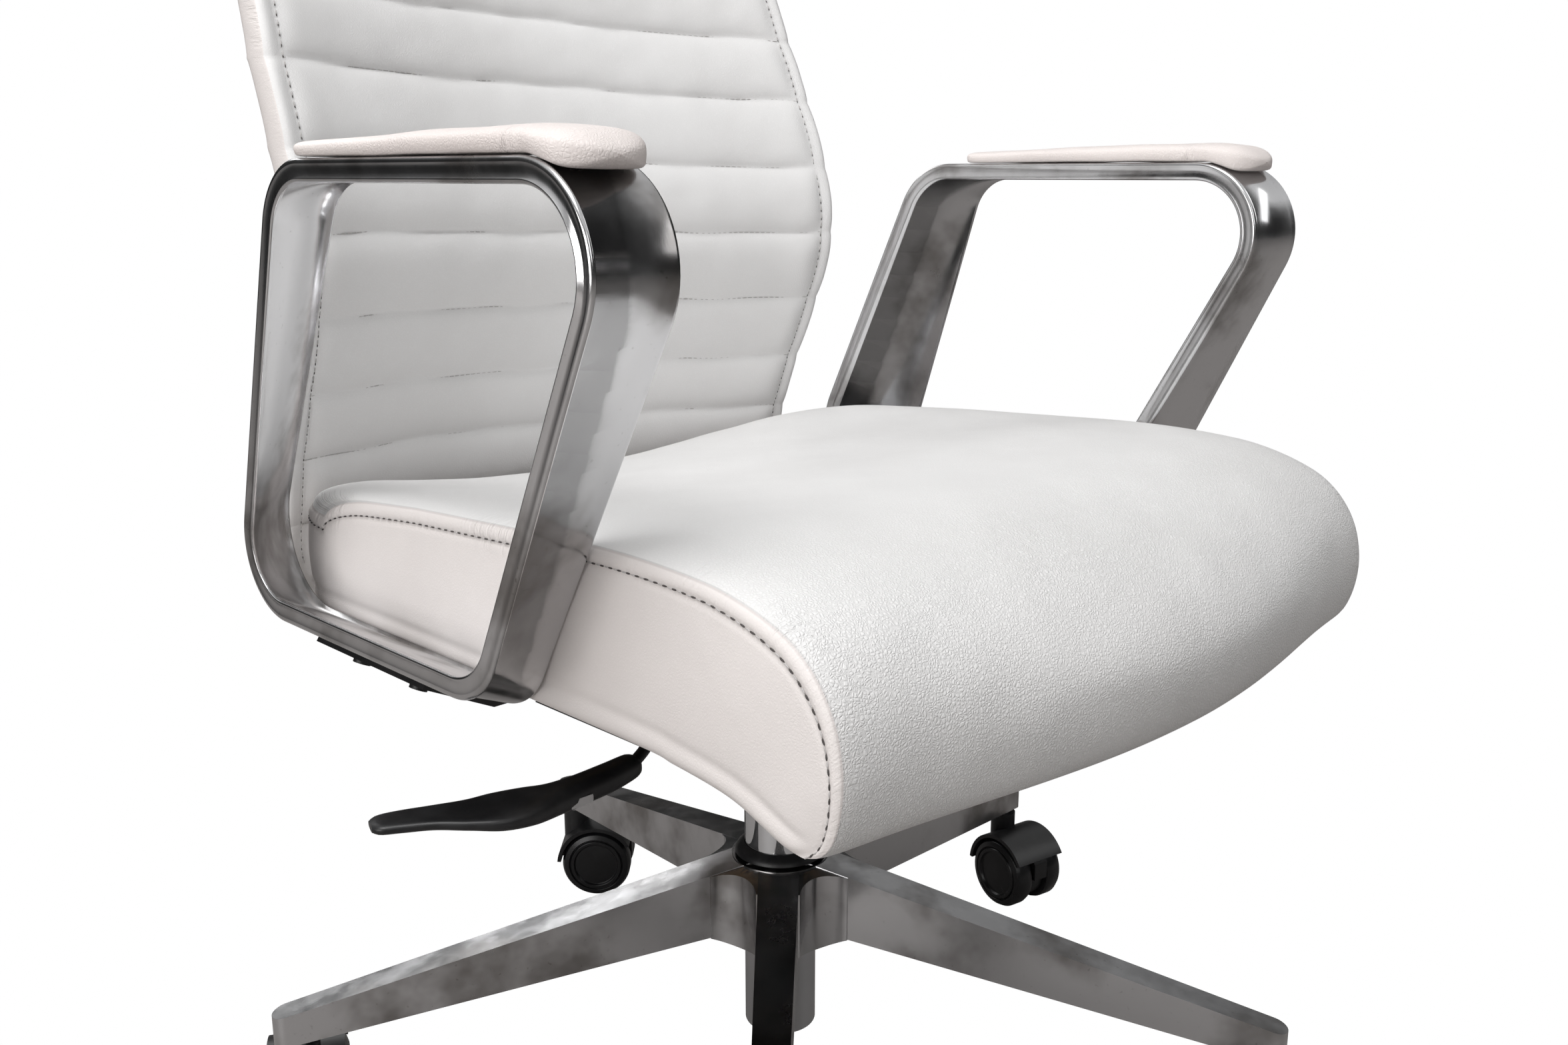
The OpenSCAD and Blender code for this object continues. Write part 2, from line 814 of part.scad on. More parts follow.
module arm_bracket(side) {
    rise = tan(flange_slope);
    x0 = flange_top.x;
    x1 = band_out_x - 14;
    top = flange_top.y - 0.2;
    color(BLACK)
        mirror_x(side)
            difference() {
                translate([0, 85, 0])
                    rotate([90, 0, 0])
                        linear_extrude(113)
                            polygon([[160, plate_z], [x0 - 6, plate_z], [x1 + 2, top - 4 + (x1 + 2 - x0) * rise],
                                [x1, top + (x1 - x0) * rise], [x0, top], [x0 - 7, plate_z + plate_t],
                                [160, plate_z + plate_t]]);
                arm_board_bolt_places()
                    cylinder(h = 40, d = 6.04, center = true);
                arm_flange_bolt_places()
                    cylinder(h = 60, d = 6.04, center = true);
            }
}

module arm_bolts() {
    color(STEEL)
        for (side = [-1, 1])
            mirror_x(side) {
                arm_board_bolt_places()
                    bolt(6, 15);
                arm_flange_bolt_places()
                    translate([0, 0, -5.2])
                        bolt(6, 12.6, 2.6);
            }
}

// ---- Casters -------------------------------------------------------------------------

wheel_r = wheel_d / 2;
wheel_w = 18;
wheel_y = 17;
hood_half_w = 25;

// Puts a caster's own frame on leg k: x points along its trail, and z is up from the floor
module at_caster(k) {
    turn = base_turn + 72 * k;
    translate([stem_r * cos(turn), stem_r * sin(turn), 0])
        rotate([0, 0, caster_heading[k]])
            children();
}

module caster_stem(k) {
    color(STEEL)
        at_caster(k)
            translate([0, 0, 60])
                cylinder(h = leg_tip_z - 3.5 - 60, d = stem_d);
}

module caster_hood(k) {
    color(BLACK)
        at_caster(k)
            difference() {
                union() {
                    translate([0, 0, 44])
                        cylinder(h = leg_tip_z - leg_tip_depth - 44.8, d = 21);
                    translate([caster_trail, 0, wheel_r])
                        rotate([90, 0, 0]) {
                            translate([0, 0, -7])
                                cylinder(h = 14, r = wheel_r - 5);
                            intersection() {
                                translate([0, 0, -hood_half_w])
                                    tube(2 * wheel_r + 9, 2 * wheel_r + 2.6, 2 * hood_half_w);
                                translate([0, 0, -40])
                                    linear_extrude(80)
                                        polygon([[0, 0], [50, 30], [50, 80], [-70, 80], [-70, 6]]);
                            }
                            intersection() {
                                translate([0, 0, -7])
                                    cylinder(h = 14, r = wheel_r + 3);
                                translate([-60, 0, -20])
                                    cube([90, 60, 40]);
                            }
                        }
                }
                cylinder(h = 200, d = stem_d + 0.04);
                translate([caster_trail, 0, wheel_r])
                    rotate([90, 0, 0])
                        cylinder(h = 100, d = 8.04, center = true);
                translate([caster_trail, 0, wheel_r])
                    rotate([90, 0, 0])
                        for (z = [-40, 7.4])
                            translate([0, 0, z])
                                cylinder(h = 32.6, r = wheel_r + 1.2);
            }
}

module caster_axle(k) {
    color(STEEL)
        at_caster(k)
            translate([caster_trail, 0, wheel_r])
                rotate([90, 0, 0])
                    cylinder(h = 2 * (wheel_y + 4), d = 8, center = true);
}

// A solid wheel with a raised ring on its outer face
module caster_wheel(k, side) {
    half = wheel_w / 2;
    color(BLACK)
        at_caster(k)
            translate([caster_trail, side * wheel_y, wheel_r])
                rotate([-90 * side, 0, 0])
                    rotate_extrude()
                        polygon([[4.06, -half], [wheel_r - 4, -half], [wheel_r - 1, -half + 1],
                            [wheel_r, -half + 4], [wheel_r, half - 5], [wheel_r - 2, half - 1.5],
                            [wheel_r - 6, half], [23, half - 1.6], [22, half + 0.2], [19.5, half + 0.2],
                            [18.5, half - 1.8], [0, half - 0.8], [0, 6], [4.06, 6]]);
}

// ---- Nodes ---------------------------------------------------------------------------

star_base();
column_collar();
column_tube();
column_bushing();
column_clip();
thrust_bearing();
piston_rod();
pressure_tube();
release_button();
tilt_housing();
tilt_pin();
tension_spring();
tension_bolt();
tension_knob();
lock_slider();
lever_rod();
lever_handle();
seat_plate();
seat_board();
seat_cushion();
dust_cover();
seat_bolts();
back_bracket();
back_bolts();
back_shell();
back_cushion();
back_cover();
arm(1);  // left_arm
arm(-1);  // right_arm
arm_pad(1);  // left_arm_pad
arm_pad(-1);  // right_arm_pad
arm_bracket(1);  // left_arm_bracket
arm_bracket(-1);  // right_arm_bracket
arm_bolts();
for (k = LEGS) {
    caster_stem(k);
    caster_hood(k);
    caster_axle(k);
    caster_wheel(k, 1);
    caster_wheel(k, -1);
}
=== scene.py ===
"""Swivel office chair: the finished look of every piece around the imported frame.

Shapes are worked out in millimetres and made in metres. The chair faces -Y.
"""
import json
import math

import bpy
import bmesh
import numpy as np
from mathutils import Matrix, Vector


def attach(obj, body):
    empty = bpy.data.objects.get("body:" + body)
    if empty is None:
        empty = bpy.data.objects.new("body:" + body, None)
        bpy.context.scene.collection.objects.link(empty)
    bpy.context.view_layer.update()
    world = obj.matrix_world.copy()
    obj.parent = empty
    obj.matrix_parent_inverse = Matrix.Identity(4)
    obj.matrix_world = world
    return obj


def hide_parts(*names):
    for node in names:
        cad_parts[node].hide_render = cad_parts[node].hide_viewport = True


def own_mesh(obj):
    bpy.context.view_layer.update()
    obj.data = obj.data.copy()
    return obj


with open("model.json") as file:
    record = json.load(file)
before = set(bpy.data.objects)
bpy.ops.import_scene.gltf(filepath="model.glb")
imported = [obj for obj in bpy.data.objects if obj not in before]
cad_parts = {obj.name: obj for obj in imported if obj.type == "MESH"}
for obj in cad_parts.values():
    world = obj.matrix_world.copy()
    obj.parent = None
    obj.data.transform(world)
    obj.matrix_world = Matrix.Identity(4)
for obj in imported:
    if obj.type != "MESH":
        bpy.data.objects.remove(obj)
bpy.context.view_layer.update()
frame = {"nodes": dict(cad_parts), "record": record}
MM = 0.001
SIDES = (("left", 1), ("right", -1))


# ---- Camera, lights and floor ----------------------------------------------------------

def aimed(thing, place, target):
    """Puts a lamp or the camera at a place, pointing at a target, both in metres."""
    thing.location = place
    thing.rotation_euler = (Vector(target) - Vector(place)).to_track_quat("-Z", "Y").to_euler()


def add(name, data):
    thing = bpy.data.objects.new(name, data)
    bpy.context.scene.collection.objects.link(thing)
    return thing


CAMERA_PLACE = Vector((-0.6543, -0.6581, 0.626))
CAMERA_AIM = Vector((0.687, 0.687, -0.235))
camera = add("camera", bpy.data.cameras.new("camera"))
camera.data.sensor_width = 36
camera.data.lens = 33.06
camera.data.clip_start = 0.02
aimed(camera, CAMERA_PLACE, CAMERA_PLACE + CAMERA_AIM)
bpy.context.scene.camera = camera


def softbox(name, place, target, size, power, colour=(1, 1, 1)):
    lamp = bpy.data.lights.new(name, "AREA")
    lamp.shape = "RECTANGLE"
    lamp.size, lamp.size_y = size
    lamp.energy = power
    lamp.color = colour
    aimed(add(name, lamp), place, target)


softbox("key_above", (-1.1, -0.3, 2.6), (0, 0, 0.4), (1.3, 1.3), 34)
softbox("left_fill", (-2.7, -0.5, 1.0), (0, 0, 0.5), (1.8, 1.4), 30, (1.0, 0.985, 0.975))
softbox("front_fill", (-1.4, -2.6, 1.7), (0, 0, 0.5), (1.2, 1.2), 7)
softbox("right_strip", (1.9, -1.9, 2.0), (0, 0, 0.5), (0.7, 1.8), 8)
softbox("back_rim", (0.4, 2.2, 1.9), (0, 0, 0.7), (1.6, 0.8), 12)


# ---- Finishes --------------------------------------------------------------------------

class Wire:
    """A number in a finish's nodes, which Python's own signs add to, take from and scale."""

    def __init__(self, finish, socket):
        self.finish = finish
        self.socket = socket

    def worked(self, operation, *values):
        return self.finish.node("ShaderNodeMath", {"operation": operation}, dict(enumerate(values)))

    def __add__(self, other):
        return self.worked("ADD", self, other)

    def __sub__(self, other):
        return self.worked("SUBTRACT", self, other)

    def __rsub__(self, other):
        return self.worked("SUBTRACT", other, self)

    def __mul__(self, other):
        return self.worked("MULTIPLY", self, other)

    __radd__ = __add__
    __rmul__ = __mul__


class Finish:
    """A material whose nodes are added by name, with the Principled shader ready to fill."""

    def __init__(self, name):
        self.material = bpy.data.materials.new(name)
        self.material.use_nodes = True
        self.tree = self.material.node_tree
        self.shader = self.tree.nodes["Principled BSDF"]

    def fill(self, node, values):
        for key, value in values.items():
            if isinstance(value, Wire):
                self.tree.links.new(value.socket, node.inputs[key])
            else:
                node.inputs[key].default_value = value

    def node(self, kind, settings=None, values=None, output=0):
        made = self.tree.nodes.new(kind)
        for key, value in (settings or {}).items():
            if key == "stops":
                ramp = made.color_ramp
                while len(ramp.elements) < len(value):
                    ramp.elements.new(0.5)
                for element, (place, shade) in zip(ramp.elements, value):
                    element.position = place
                    element.color = (shade, shade, shade, 1)
            else:
                setattr(made, key, value)
        self.fill(made, values or {})
        return Wire(self, made.outputs[output])

    def place(self):
        return self.node("ShaderNodeTexCoord", output="Object")

    def stretched(self, scale, vector=None):
        return self.node("ShaderNodeMapping", {"vector_type": "POINT"},
                         {"Vector": vector or self.place(), "Scale": scale})

    def noise(self, vector, scale, detail=3.0, roughness=0.5):
        return self.node("ShaderNodeTexNoise", None,
                         {"Vector": vector, "Scale": scale, "Detail": detail, "Roughness": roughness},
                         "Fac")

    def ramped(self, value, low, high, start=0.0, end=1.0):
        return self.node("ShaderNodeMapRange", {"interpolation_type": "SMOOTHSTEP"},
                         {"Value": value, "From Min": low, "From Max": high,
                          "To Min": start, "To Max": end})

    def tinted(self, amount, first, second):
        return self.node("ShaderNodeMix", {"data_type": "RGBA"},
                         {0: amount, 6: (*first, 1), 7: (*second, 1)}, 2)

    def bumped(self, height, distance, strength=1.0, under=None):
        values = {"Height": height, "Distance": distance, "Strength": strength}
        if under:
            values["Normal"] = under
        return self.node("ShaderNodeBump", None, values)

    def done(self, **values):
        self.fill(self.shader, {key.replace("_", " "): value for key, value in values.items()})
        return self.material


def leather(name, tone, shade, grain_at, pull=0.0):
    """Pebbled leather. grain_at gives how strong the grain is, and pull the creases at its seams. Its
    colour also holds painted shade in the grain valleys and, where pulled, along the seams.
    """
    f = Finish(name)
    place = f.place()
    sway = f.node("ShaderNodeTexNoise", None, {"Vector": place, "Scale": 190.0, "Detail": 2.0}, "Color")
    bent = f.node("ShaderNodeMix", {"data_type": "VECTOR"}, {0: 0.004, 4: place, 5: sway}, 1)
    cells = f.node("ShaderNodeTexVoronoi", {"feature": "DISTANCE_TO_EDGE"},
                   {"Vector": bent, "Scale": 560.0}, "Distance")
    pebble = f.ramped(cells, 0.0, 0.32)
    fine = f.noise(place, 2300.0, 2.0)
    patch = f.noise(place, 14.0, 3.0)
    grain = grain_at(f, place)
    height = pebble * grain * (patch * 0.9 + 0.35) + fine * 0.22
    relief = f.bumped(height, 0.00035, 0.8)
    dip = f.noise(place, 26.0, 2.0)
    relief = f.bumped(dip, 0.0022, 0.35, relief)
    if pull:
        seam = f.node("ShaderNodeUVMap", {"uv_map": "seam"})
        apart = f.node("ShaderNodeSeparateXYZ", None, {0: seam}, "Y")
        lines = f.noise(f.stretched((230.0, 42.0, 1.0), seam), 1.0, 3.0, 0.6)
        near = f.ramped(apart, 0.001, 0.021, 1.0, 0.0)
        where = f.ramped(f.noise(place, 17.0, 1.0), 0.42, 0.62)
        crease = f.ramped(lines, 0.36, 0.62) * near * (where * 0.85 + 0.15)
        relief = f.bumped(crease, 0.0011 * pull, 0.7, relief)
    worn = f.noise(place, 5.0, 4.0)
    # Darker colour: painted shade in the pebble grain's valleys, plus a random worn tone
    dark = (1 - pebble) * grain * 0.35 + f.ramped(worn, 0.35, 0.7) * 0.35
    # Painted shade: a thin dark line in the groove along each seam
    if pull:
        dark = dark + f.ramped(apart, 0.0003, 0.0011, 1.0, 0.0)
    return f.done(Base_Color=f.tinted(dark, tone, shade),
                  Roughness=0.36 + worn * 0.2 + (1 - pebble) * 0.08,
                  Normal=relief, Specular_IOR_Level=0.42)


def waterfall_grain(f, place):
    """Grain that shows most where the leather bends over the front of the seat."""
    back = f.node("ShaderNodeSeparateXYZ", None, {0: place}, "Y")
    return f.ramped(back, -0.262, -0.15, 1.0, 0.22)


def even_grain(amount):
    return lambda f, place: f.ramped(f.noise(place, 9.0), 0.3, 0.7, amount * 0.6, amount)


def burnished(name, light, dark, gloss, cloud):
    """Cast and hand-polished metal: cloudy, with brownish patches that are partly stains and partly
    painted dark reflections, and fine scratches.
    """
    f = Finish(name)
    place = f.place()
    clouds = f.noise(place, 13.0, 4.0, 0.55)
    smears = f.noise(f.stretched((30.0, 30.0, 9.0)), 1.0, 3.0, 0.6)
    scratches = f.noise(f.stretched((900.0, 900.0, 60.0)), 1.0, 2.0, 0.7)
    pits = f.ramped(f.noise(place, 420.0, 1.0), 0.70, 0.78)
    # Dark cloudy patches in the colour: brownish stains, and also painted dark reflections
    stain_and_painted_reflection = f.ramped(clouds, 0.44, 0.68) * cloud
    colour = f.tinted(stain_and_painted_reflection + pits * 0.25, light, dark)
    rough = gloss + f.ramped(smears, 0.35, 0.7) * 0.10 + scratches * 0.05 + stain_and_painted_reflection * 0.07
    relief = f.bumped(scratches, 0.00004, 0.25)
    relief = f.bumped(f.noise(place, 34.0, 2.0), 0.0016, 0.10, relief)
    return f.done(Base_Color=colour, Metallic=1.0, Roughness=rough, Normal=relief)


def plated(name, colour, gloss, haze):
    """Chromed or zinc-plated steel, with faint handling marks."""
    f = Finish(name)
    place = f.place()
    marks = f.noise(f.stretched((500.0, 500.0, 40.0)), 1.0, 2.0, 0.6)
    blooms = f.noise(place, 45.0, 3.0)
    darker = tuple(c * 0.72 for c in colour)
    return f.done(Base_Color=f.tinted(f.ramped(blooms, 0.4, 0.8) * haze, colour, darker), Metallic=1.0,
                  Roughness=gloss + blooms * haze * 0.25 + marks * 0.03,
                  Normal=f.bumped(marks, 0.00003, 0.2))


def moulded(name, colour, gloss, texture):
    """Moulded plastic or powder coat: a fine skin texture and slightly dusty, uneven gloss."""
    f = Finish(name)
    place = f.place()
    skin = f.noise(place, texture, 2.0, 0.6)
    dust = f.noise(place, 22.0, 4.0, 0.6)
    paler = tuple(c + 0.022 for c in colour)
    return f.done(Base_Color=f.tinted(f.ramped(dust, 0.45, 0.8), colour, paler),
                  Roughness=gloss + dust * 0.16, Normal=f.bumped(skin, 0.00008, 0.5))


def plywood(name):
    """Beech plywood: grain on its faces and thin layers along its edges."""
    f = Finish(name)
    place = f.place()
    layers = f.node("ShaderNodeTexWave", {"bands_direction": "Z"},
                    {"Vector": place, "Scale": 210.0, "Distortion": 0.6}, "Fac")
    rings = f.noise(f.stretched((60.0, 7.0, 60.0)), 1.0, 5.0, 0.6)
    blend = f.ramped(rings, 0.3, 0.7) * 0.6 + layers * 0.4
    return f.done(Base_Color=f.tinted(blend, (0.62, 0.43, 0.25), (0.42, 0.27, 0.14)),
                  Roughness=0.55 + rings * 0.2, Normal=f.bumped(rings, 0.0002, 0.4))


def cloth(name):
    """The thin black non-woven cloth under a seat: random fibres with a dimpled bond."""
    f = Finish(name)
    place = f.place()
    fibres = f.noise(place, 900.0, 4.0, 0.7)
    bond = f.node("ShaderNodeTexVoronoi", {"feature": "F1"},
                  {"Vector": place, "Scale": 330.0}, "Distance")
    return f.done(Base_Color=f.tinted(fibres, (0.012, 0.012, 0.013), (0.05, 0.05, 0.052)),
                  Roughness=0.85 + fibres * 0.1,
                  Normal=f.bumped(bond * 0.6 + fibres * 0.4, 0.0003, 0.6))


def thread(name, colour, shade):
    """Twisted sewing thread."""
    f = Finish(name)
    strands = f.noise(f.place(), 1900.0, 2.0)
    return f.done(Base_Color=f.tinted(strands, colour, shade), Roughness=0.5 + strands * 0.2,
                  Normal=f.bumped(strands, 0.0002, 0.5))


SEAT_LEATHER = leather("white_leather_seat", (0.86, 0.855, 0.85), (0.66, 0.65, 0.645),
                       waterfall_grain, 0.8)
SIDE_LEATHER = leather("white_leather_side", (0.85, 0.805, 0.785), (0.68, 0.635, 0.62),
                       even_grain(0.25), 1.0)
BACK_LEATHER = leather("white_leather_back", (0.865, 0.86, 0.857), (0.68, 0.67, 0.665), even_grain(0.3))
PAD_LEATHER = leather("white_leather_pad", (0.86, 0.80, 0.775), (0.66, 0.59, 0.57), even_grain(0.7), 1.4)
ALLOY = burnished("polished_alloy", (0.66, 0.66, 0.67), (0.22, 0.205, 0.195), 0.11, 0.85)
CHROME = plated("chromed_steel", (0.80, 0.81, 0.83), 0.05, 0.1)
STEEL = plated("bright_steel", (0.62, 0.62, 0.63), 0.24, 0.5)
COATED = moulded("black_steel", (0.010, 0.010, 0.011), 0.36, 900.0)
PLASTIC = moulded("black_plastic", (0.008, 0.008, 0.009), 0.30, 1500.0)
NYLON = moulded("black_nylon", (0.007, 0.007, 0.008), 0.22, 1300.0)
PLY = plywood("plywood")
CLOTH = cloth("black_cloth")
THREAD = thread("pale_thread", (0.62, 0.60, 0.59), (0.40, 0.385, 0.38))
# Near-black finish for the beads between stitches: painted shade in the needle dips
NEEDLE_DIP_SHADE = moulded("needle_dip_painted_shade", (0.07, 0.062, 0.06), 0.7, 1500.0)


# ---- Stage -----------------------------------------------------------------------------

def light_path(tree):
    return tree.nodes.new("ShaderNodeLightPath").outputs["Is Camera Ray"]


def studio():
    """White to the camera, and to reflections a room: bright above, dark walls, a few bright panels."""
    world = bpy.data.worlds.new("studio")
    world.use_nodes = True
    tree = world.node_tree
    room = tree.nodes["Background"]
    where = tree.nodes.new("ShaderNodeTexCoord")
    split = tree.nodes.new("ShaderNodeSeparateXYZ")
    tree.links.new(where.outputs["Generated"], split.inputs[0])
    ramp = tree.nodes.new("ShaderNodeValToRGB").color_ramp
    # Brightness by height of what a reflection meets, from straight down (0) to straight up (1)
    stops = ((0.0, 0.20), (0.42, 0.10), (0.52, 0.03), (0.65, 0.04), (0.735, 0.16), (0.82, 0.95),
             (1.0, 0.80))
    while len(ramp.elements) < len(stops):
        ramp.elements.new(0.5)
    for element, (place, shade) in zip(ramp.elements, stops):
        element.position = place
        element.color = (shade, shade, shade, 1)
    lift = tree.nodes.new("ShaderNodeMapRange")
    lift.inputs["From Min"].default_value = -1
    tree.links.new(split.outputs["Z"], lift.inputs["Value"])
    tree.links.new(lift.outputs[0], tree.nodes["Color Ramp"].inputs[0])
    tree.links.new(tree.nodes["Color Ramp"].outputs[0], room.inputs["Color"])
    room.inputs["Strength"].default_value = 0.72
    white = tree.nodes.new("ShaderNodeBackground")
    mix = tree.nodes.new("ShaderNodeMixShader")
    tree.links.new(light_path(tree), mix.inputs[0])
    tree.links.new(room.outputs[0], mix.inputs[1])
    tree.links.new(white.outputs[0], mix.inputs[2])
    tree.links.new(mix.outputs[0], tree.nodes["World Output"].inputs["Surface"])
    white.inputs["Color"].default_value = (1, 1, 1, 1)
    bpy.context.scene.world = world


def pale_floor():
    finish = Finish("pale_floor")
    tree = finish.tree
    finish.fill(finish.shader, {"Base Color": (0.27, 0.255, 0.245, 1), "Roughness": 0.6})
    glow = tree.nodes.new("ShaderNodeEmission")
    glow.inputs["Color"].default_value = (1, 1, 1, 1)
    mix = tree.nodes.new("ShaderNodeMixShader")
    tree.links.new(light_path(tree), mix.inputs[0])
    tree.links.new(finish.shader.outputs[0], mix.inputs[1])
    tree.links.new(glow.outputs[0], mix.inputs[2])
    tree.links.new(mix.outputs[0], tree.nodes["Material Output"].inputs["Surface"])
    half = 6.0
    mesh = bpy.data.meshes.new("floor")
    corners = [(-half, -half, 0), (half, -half, 0), (half, half, 0), (-half, half, 0)]
    mesh.from_pydata(corners, [], [(0, 1, 2, 3)])
    mesh.materials.append(finish.material)
    floor = add("floor", mesh)


studio()
pale_floor()
bpy.context.scene.view_settings.view_transform = "Standard"


# ---- Shape tools -----------------------------------------------------------------------

def eased(low, high, value):
    t = np.clip((np.asarray(value, float) - low) / (high - low), 0, 1)
    return t * t * (3 - 2 * t)


def read_smooth(table, z, window):
    steps = ((-1, 1), (-0.5, 2), (0, 2), (0.5, 2), (1, 1))
    return sum(w * np.interp(z + s * window, table[:, 0], table[:, 1]) for s, w in steps) / 8


def smooth_path(points, count):
    """A smooth curve through points, as count points evenly apart along it."""
    pts = np.asarray(points, float)
    n = len(pts)
    spans = n - 1

    def get(i):
        return pts[min(max(i, 0), n - 1)]

    fine = []
    steps = 24
    for i in range(spans):
        p0, p1, p2, p3 = get(i - 1), get(i), get(i + 1), get(i + 2)
        for s in range(steps):
            t = s / steps
            fine.append(0.5 * (2 * p1 + (p2 - p0) * t + (2 * p0 - 5 * p1 + 4 * p2 - p3) * t * t
                               + (3 * p1 - p0 - 3 * p2 + p3) * t ** 3))
    fine.append(get(spans))
    return evenly(np.array(fine), count)


def evenly(points, count):
    """The same line with count points, evenly apart."""
    steps = np.linalg.norm(np.diff(points, axis=0), axis=1)
    run = np.concatenate([[0], np.cumsum(steps)])
    at = np.linspace(0, run[-1], count)
    return np.stack([np.interp(at, run, points[:, k]) for k in range(points.shape[1])], 1)


def ripple(points, size, seed):
    """Soft, repeatable unevenness from -1 to 1 for an array of points, with waves of about a size."""
    draw = np.random.default_rng(seed)
    total = np.zeros(points.shape[:-1])
    for _ in range(7):
        way = draw.normal(size=3)
        way *= 2 * math.pi / size / np.linalg.norm(way) * draw.uniform(0.6, 1.5)
        total += np.sin(points @ way + draw.uniform(0, 7))
    return total / 4


class Shape:
    """Gathers patches in millimetres and makes one closed mesh piece of them."""

    def __init__(self):
        self.points = []
        self.faces = []
        self.seams = []
        self.slots = []

    def grid(self, points, wrap=False, seam=None, slot=0):
        """A patch through a grid of points; wrap joins its last column to its first."""
        rows, cols = points.shape[:2]
        base = len(self.points)
        self.points.extend(points.reshape(-1, 3).tolist())
        seam = np.zeros((rows, cols, 2)) if seam is None else seam
        self.seams.extend(seam.reshape(-1, 2).tolist())
        for r in range(rows - 1):
            for c in range(cols if wrap else cols - 1):
                d = (c + 1) % cols
                self.faces.append([base + r * cols + c, base + r * cols + d,
                                   base + (r + 1) * cols + d, base + (r + 1) * cols + c])
                self.slots.append(slot)

    def lid(self, loop, slot=0):
        """A fan that closes a loop of points at its middle."""
        base = len(self.points)
        n = len(loop)
        self.points.extend(np.asarray(loop).tolist() + [np.mean(loop, axis=0).tolist()])
        self.seams.extend([[0, 0]] * (n + 1))
        for i in range(n):
            self.faces.append([base + i, base + (i + 1) % n, base + n])
            self.slots.append(slot)

    def piece(self, name, materials, sharp=None, weld=0.02):
        mesh = bpy.data.meshes.new(name)
        mesh.from_pydata([[v * MM for v in p] for p in self.points], [], self.faces)
        layer = mesh.uv_layers.new(name="seam")
        seams = np.array(self.seams, float) * MM
        index = np.zeros(len(mesh.loops), int)
        mesh.loops.foreach_get("vertex_index", index)
        layer.data.foreach_set("uv", seams[index].astype(np.float32).ravel())
        for material in materials:
            mesh.materials.append(material)
        mesh.polygons.foreach_set("material_index", self.slots)
        work = bmesh.new()
        work.from_mesh(mesh)
        bmesh.ops.remove_doubles(work, verts=work.verts, dist=weld * MM)
        bmesh.ops.dissolve_degenerate(work, edges=work.edges, dist=weld * MM * 0.5)
        bmesh.ops.recalc_face_normals(work, faces=work.faces)
        work.to_mesh(mesh)
        work.free()
        mesh.polygons.foreach_set("use_smooth", [True] * len(mesh.polygons))
        if sharp:
            mesh.set_sharp_from_angle(angle=math.radians(sharp))
        return add(name, mesh)


def finished(piece, body, slot, *nodes, fill=None):
    """What every piece ends with: its body, and the nodes it stands for. Its slot is not used."""
    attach(piece, body)
    if nodes:
        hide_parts(*nodes)
    return piece


# ---- Seat ------------------------------------------------------------------------------

SEAT_HALF_W = 246.0
SEAT_RISE = 5.0
SEAT_FRONT_PUSH = 6.0
SEAT_FRONT_BOW = 24.0
# How far the seat is dished along its middle, as (y, depth)
SEAT_DISH = np.array([(-330, 0), (-215, 0), (-100, 4), (0, 11), (110, 21), (204, 31), (270, 35)], float)
SEAT_BOW = 44.0
SEAT_CORNER = 58.0
# The seam along the side of the seat, from under its front edge to its rear corner, as (y, z)
SEAT_SEAM = [(-264, 340), (-272, 343.5), (-279, 352), (-283.5, 367), (-284.5, 384), (-281, 402),
             (-273.5, 417), (-262, 429.5), (-247, 438.5), (-222, 446.5), (-192, 451), (-135, 453),
             (-60, 450), (45, 444.5), (120, 440), (170, 436.5), (204, 433.5)]
# The lower edge of the side panel, from the front lip back, as (y, z)
SEAT_HEM = [(-262, 339.4), (-249, 340), (-235.5, 344.5), (-221, 349.6), (-205, 352.8), (-176, 355.6),
            (-140, 357.6), (60, 358.2), (204, 358.6)]
HEM_FRONT_Y = -262
HEM_LENGTH = 408


def seat_rear(x):
    """Where the seat ends at the back, across its width: bowed, with rounded corners."""
    over = np.clip(np.abs(x) - (SEAT_HALF_W - SEAT_CORNER), 0, SEAT_CORNER)
    return (204 + SEAT_BOW * (1 - (x / SEAT_HALF_W) ** 2)
            - (SEAT_CORNER - np.sqrt(SEAT_CORNER ** 2 - over ** 2)))


def fitted_rear(x, y):
    """Moves the rear of a line so that it ends where the seat does at x."""
    return np.where(y > 40, 40 + (y - 40) * (seat_rear(x) - 40) / 164.0, y)


def seat_top(x, line, outward):
    """The panel over the top and front of the seat at x, from the seam line at its side."""
    full = 1 - np.abs(x / SEAT_HALF_W) ** 3
    middle = 1 - (x / SEAT_HALF_W) ** 2
    gap = SEAT_HALF_W - np.abs(x)
    soft = 1 - np.exp(-gap / 7.0)
    upward = np.clip(outward[:, 1], 0, 1) ** 2
    lift = (SEAT_RISE * (1 - np.exp(-gap / 26.0)) * upward
            + SEAT_FRONT_PUSH * full * np.clip(-outward[:, 0], 0, 1) ** 2)
    y = line[:, 0] + outward[:, 0] * (lift + 1.8 * soft)
    z = line[:, 1] + outward[:, 1] * (lift + 1.8 * soft)
    low_front = (1 - eased(385, 452, line[:, 1])) * (line[:, 0] < -150)
    y = fitted_rear(x, y) - SEAT_FRONT_BOW * middle ** 2 * low_front
    z = z - read_smooth(SEAT_DISH, y, 40) * middle * upward
    near_rear = np.clip((seat_rear(x) - y) / 60.0, 0, 1)
    z = z - 11 * (1 - np.sqrt(1 - (1 - near_rear) ** 2))
    return np.stack([np.full_like(y, x), y, z], 1)


def line_outward(line):
    """The outward direction along a (y, z) line that runs from the front over the top."""
    along = np.gradient(line, axis=0)
    along /= np.linalg.norm(along, axis=1, keepdims=True)
    return np.stack([-along[:, 1], along[:, 0]], 1)


def run_of(points):
    return np.concatenate([[0], np.cumsum(np.linalg.norm(np.diff(points, axis=0), axis=1))])


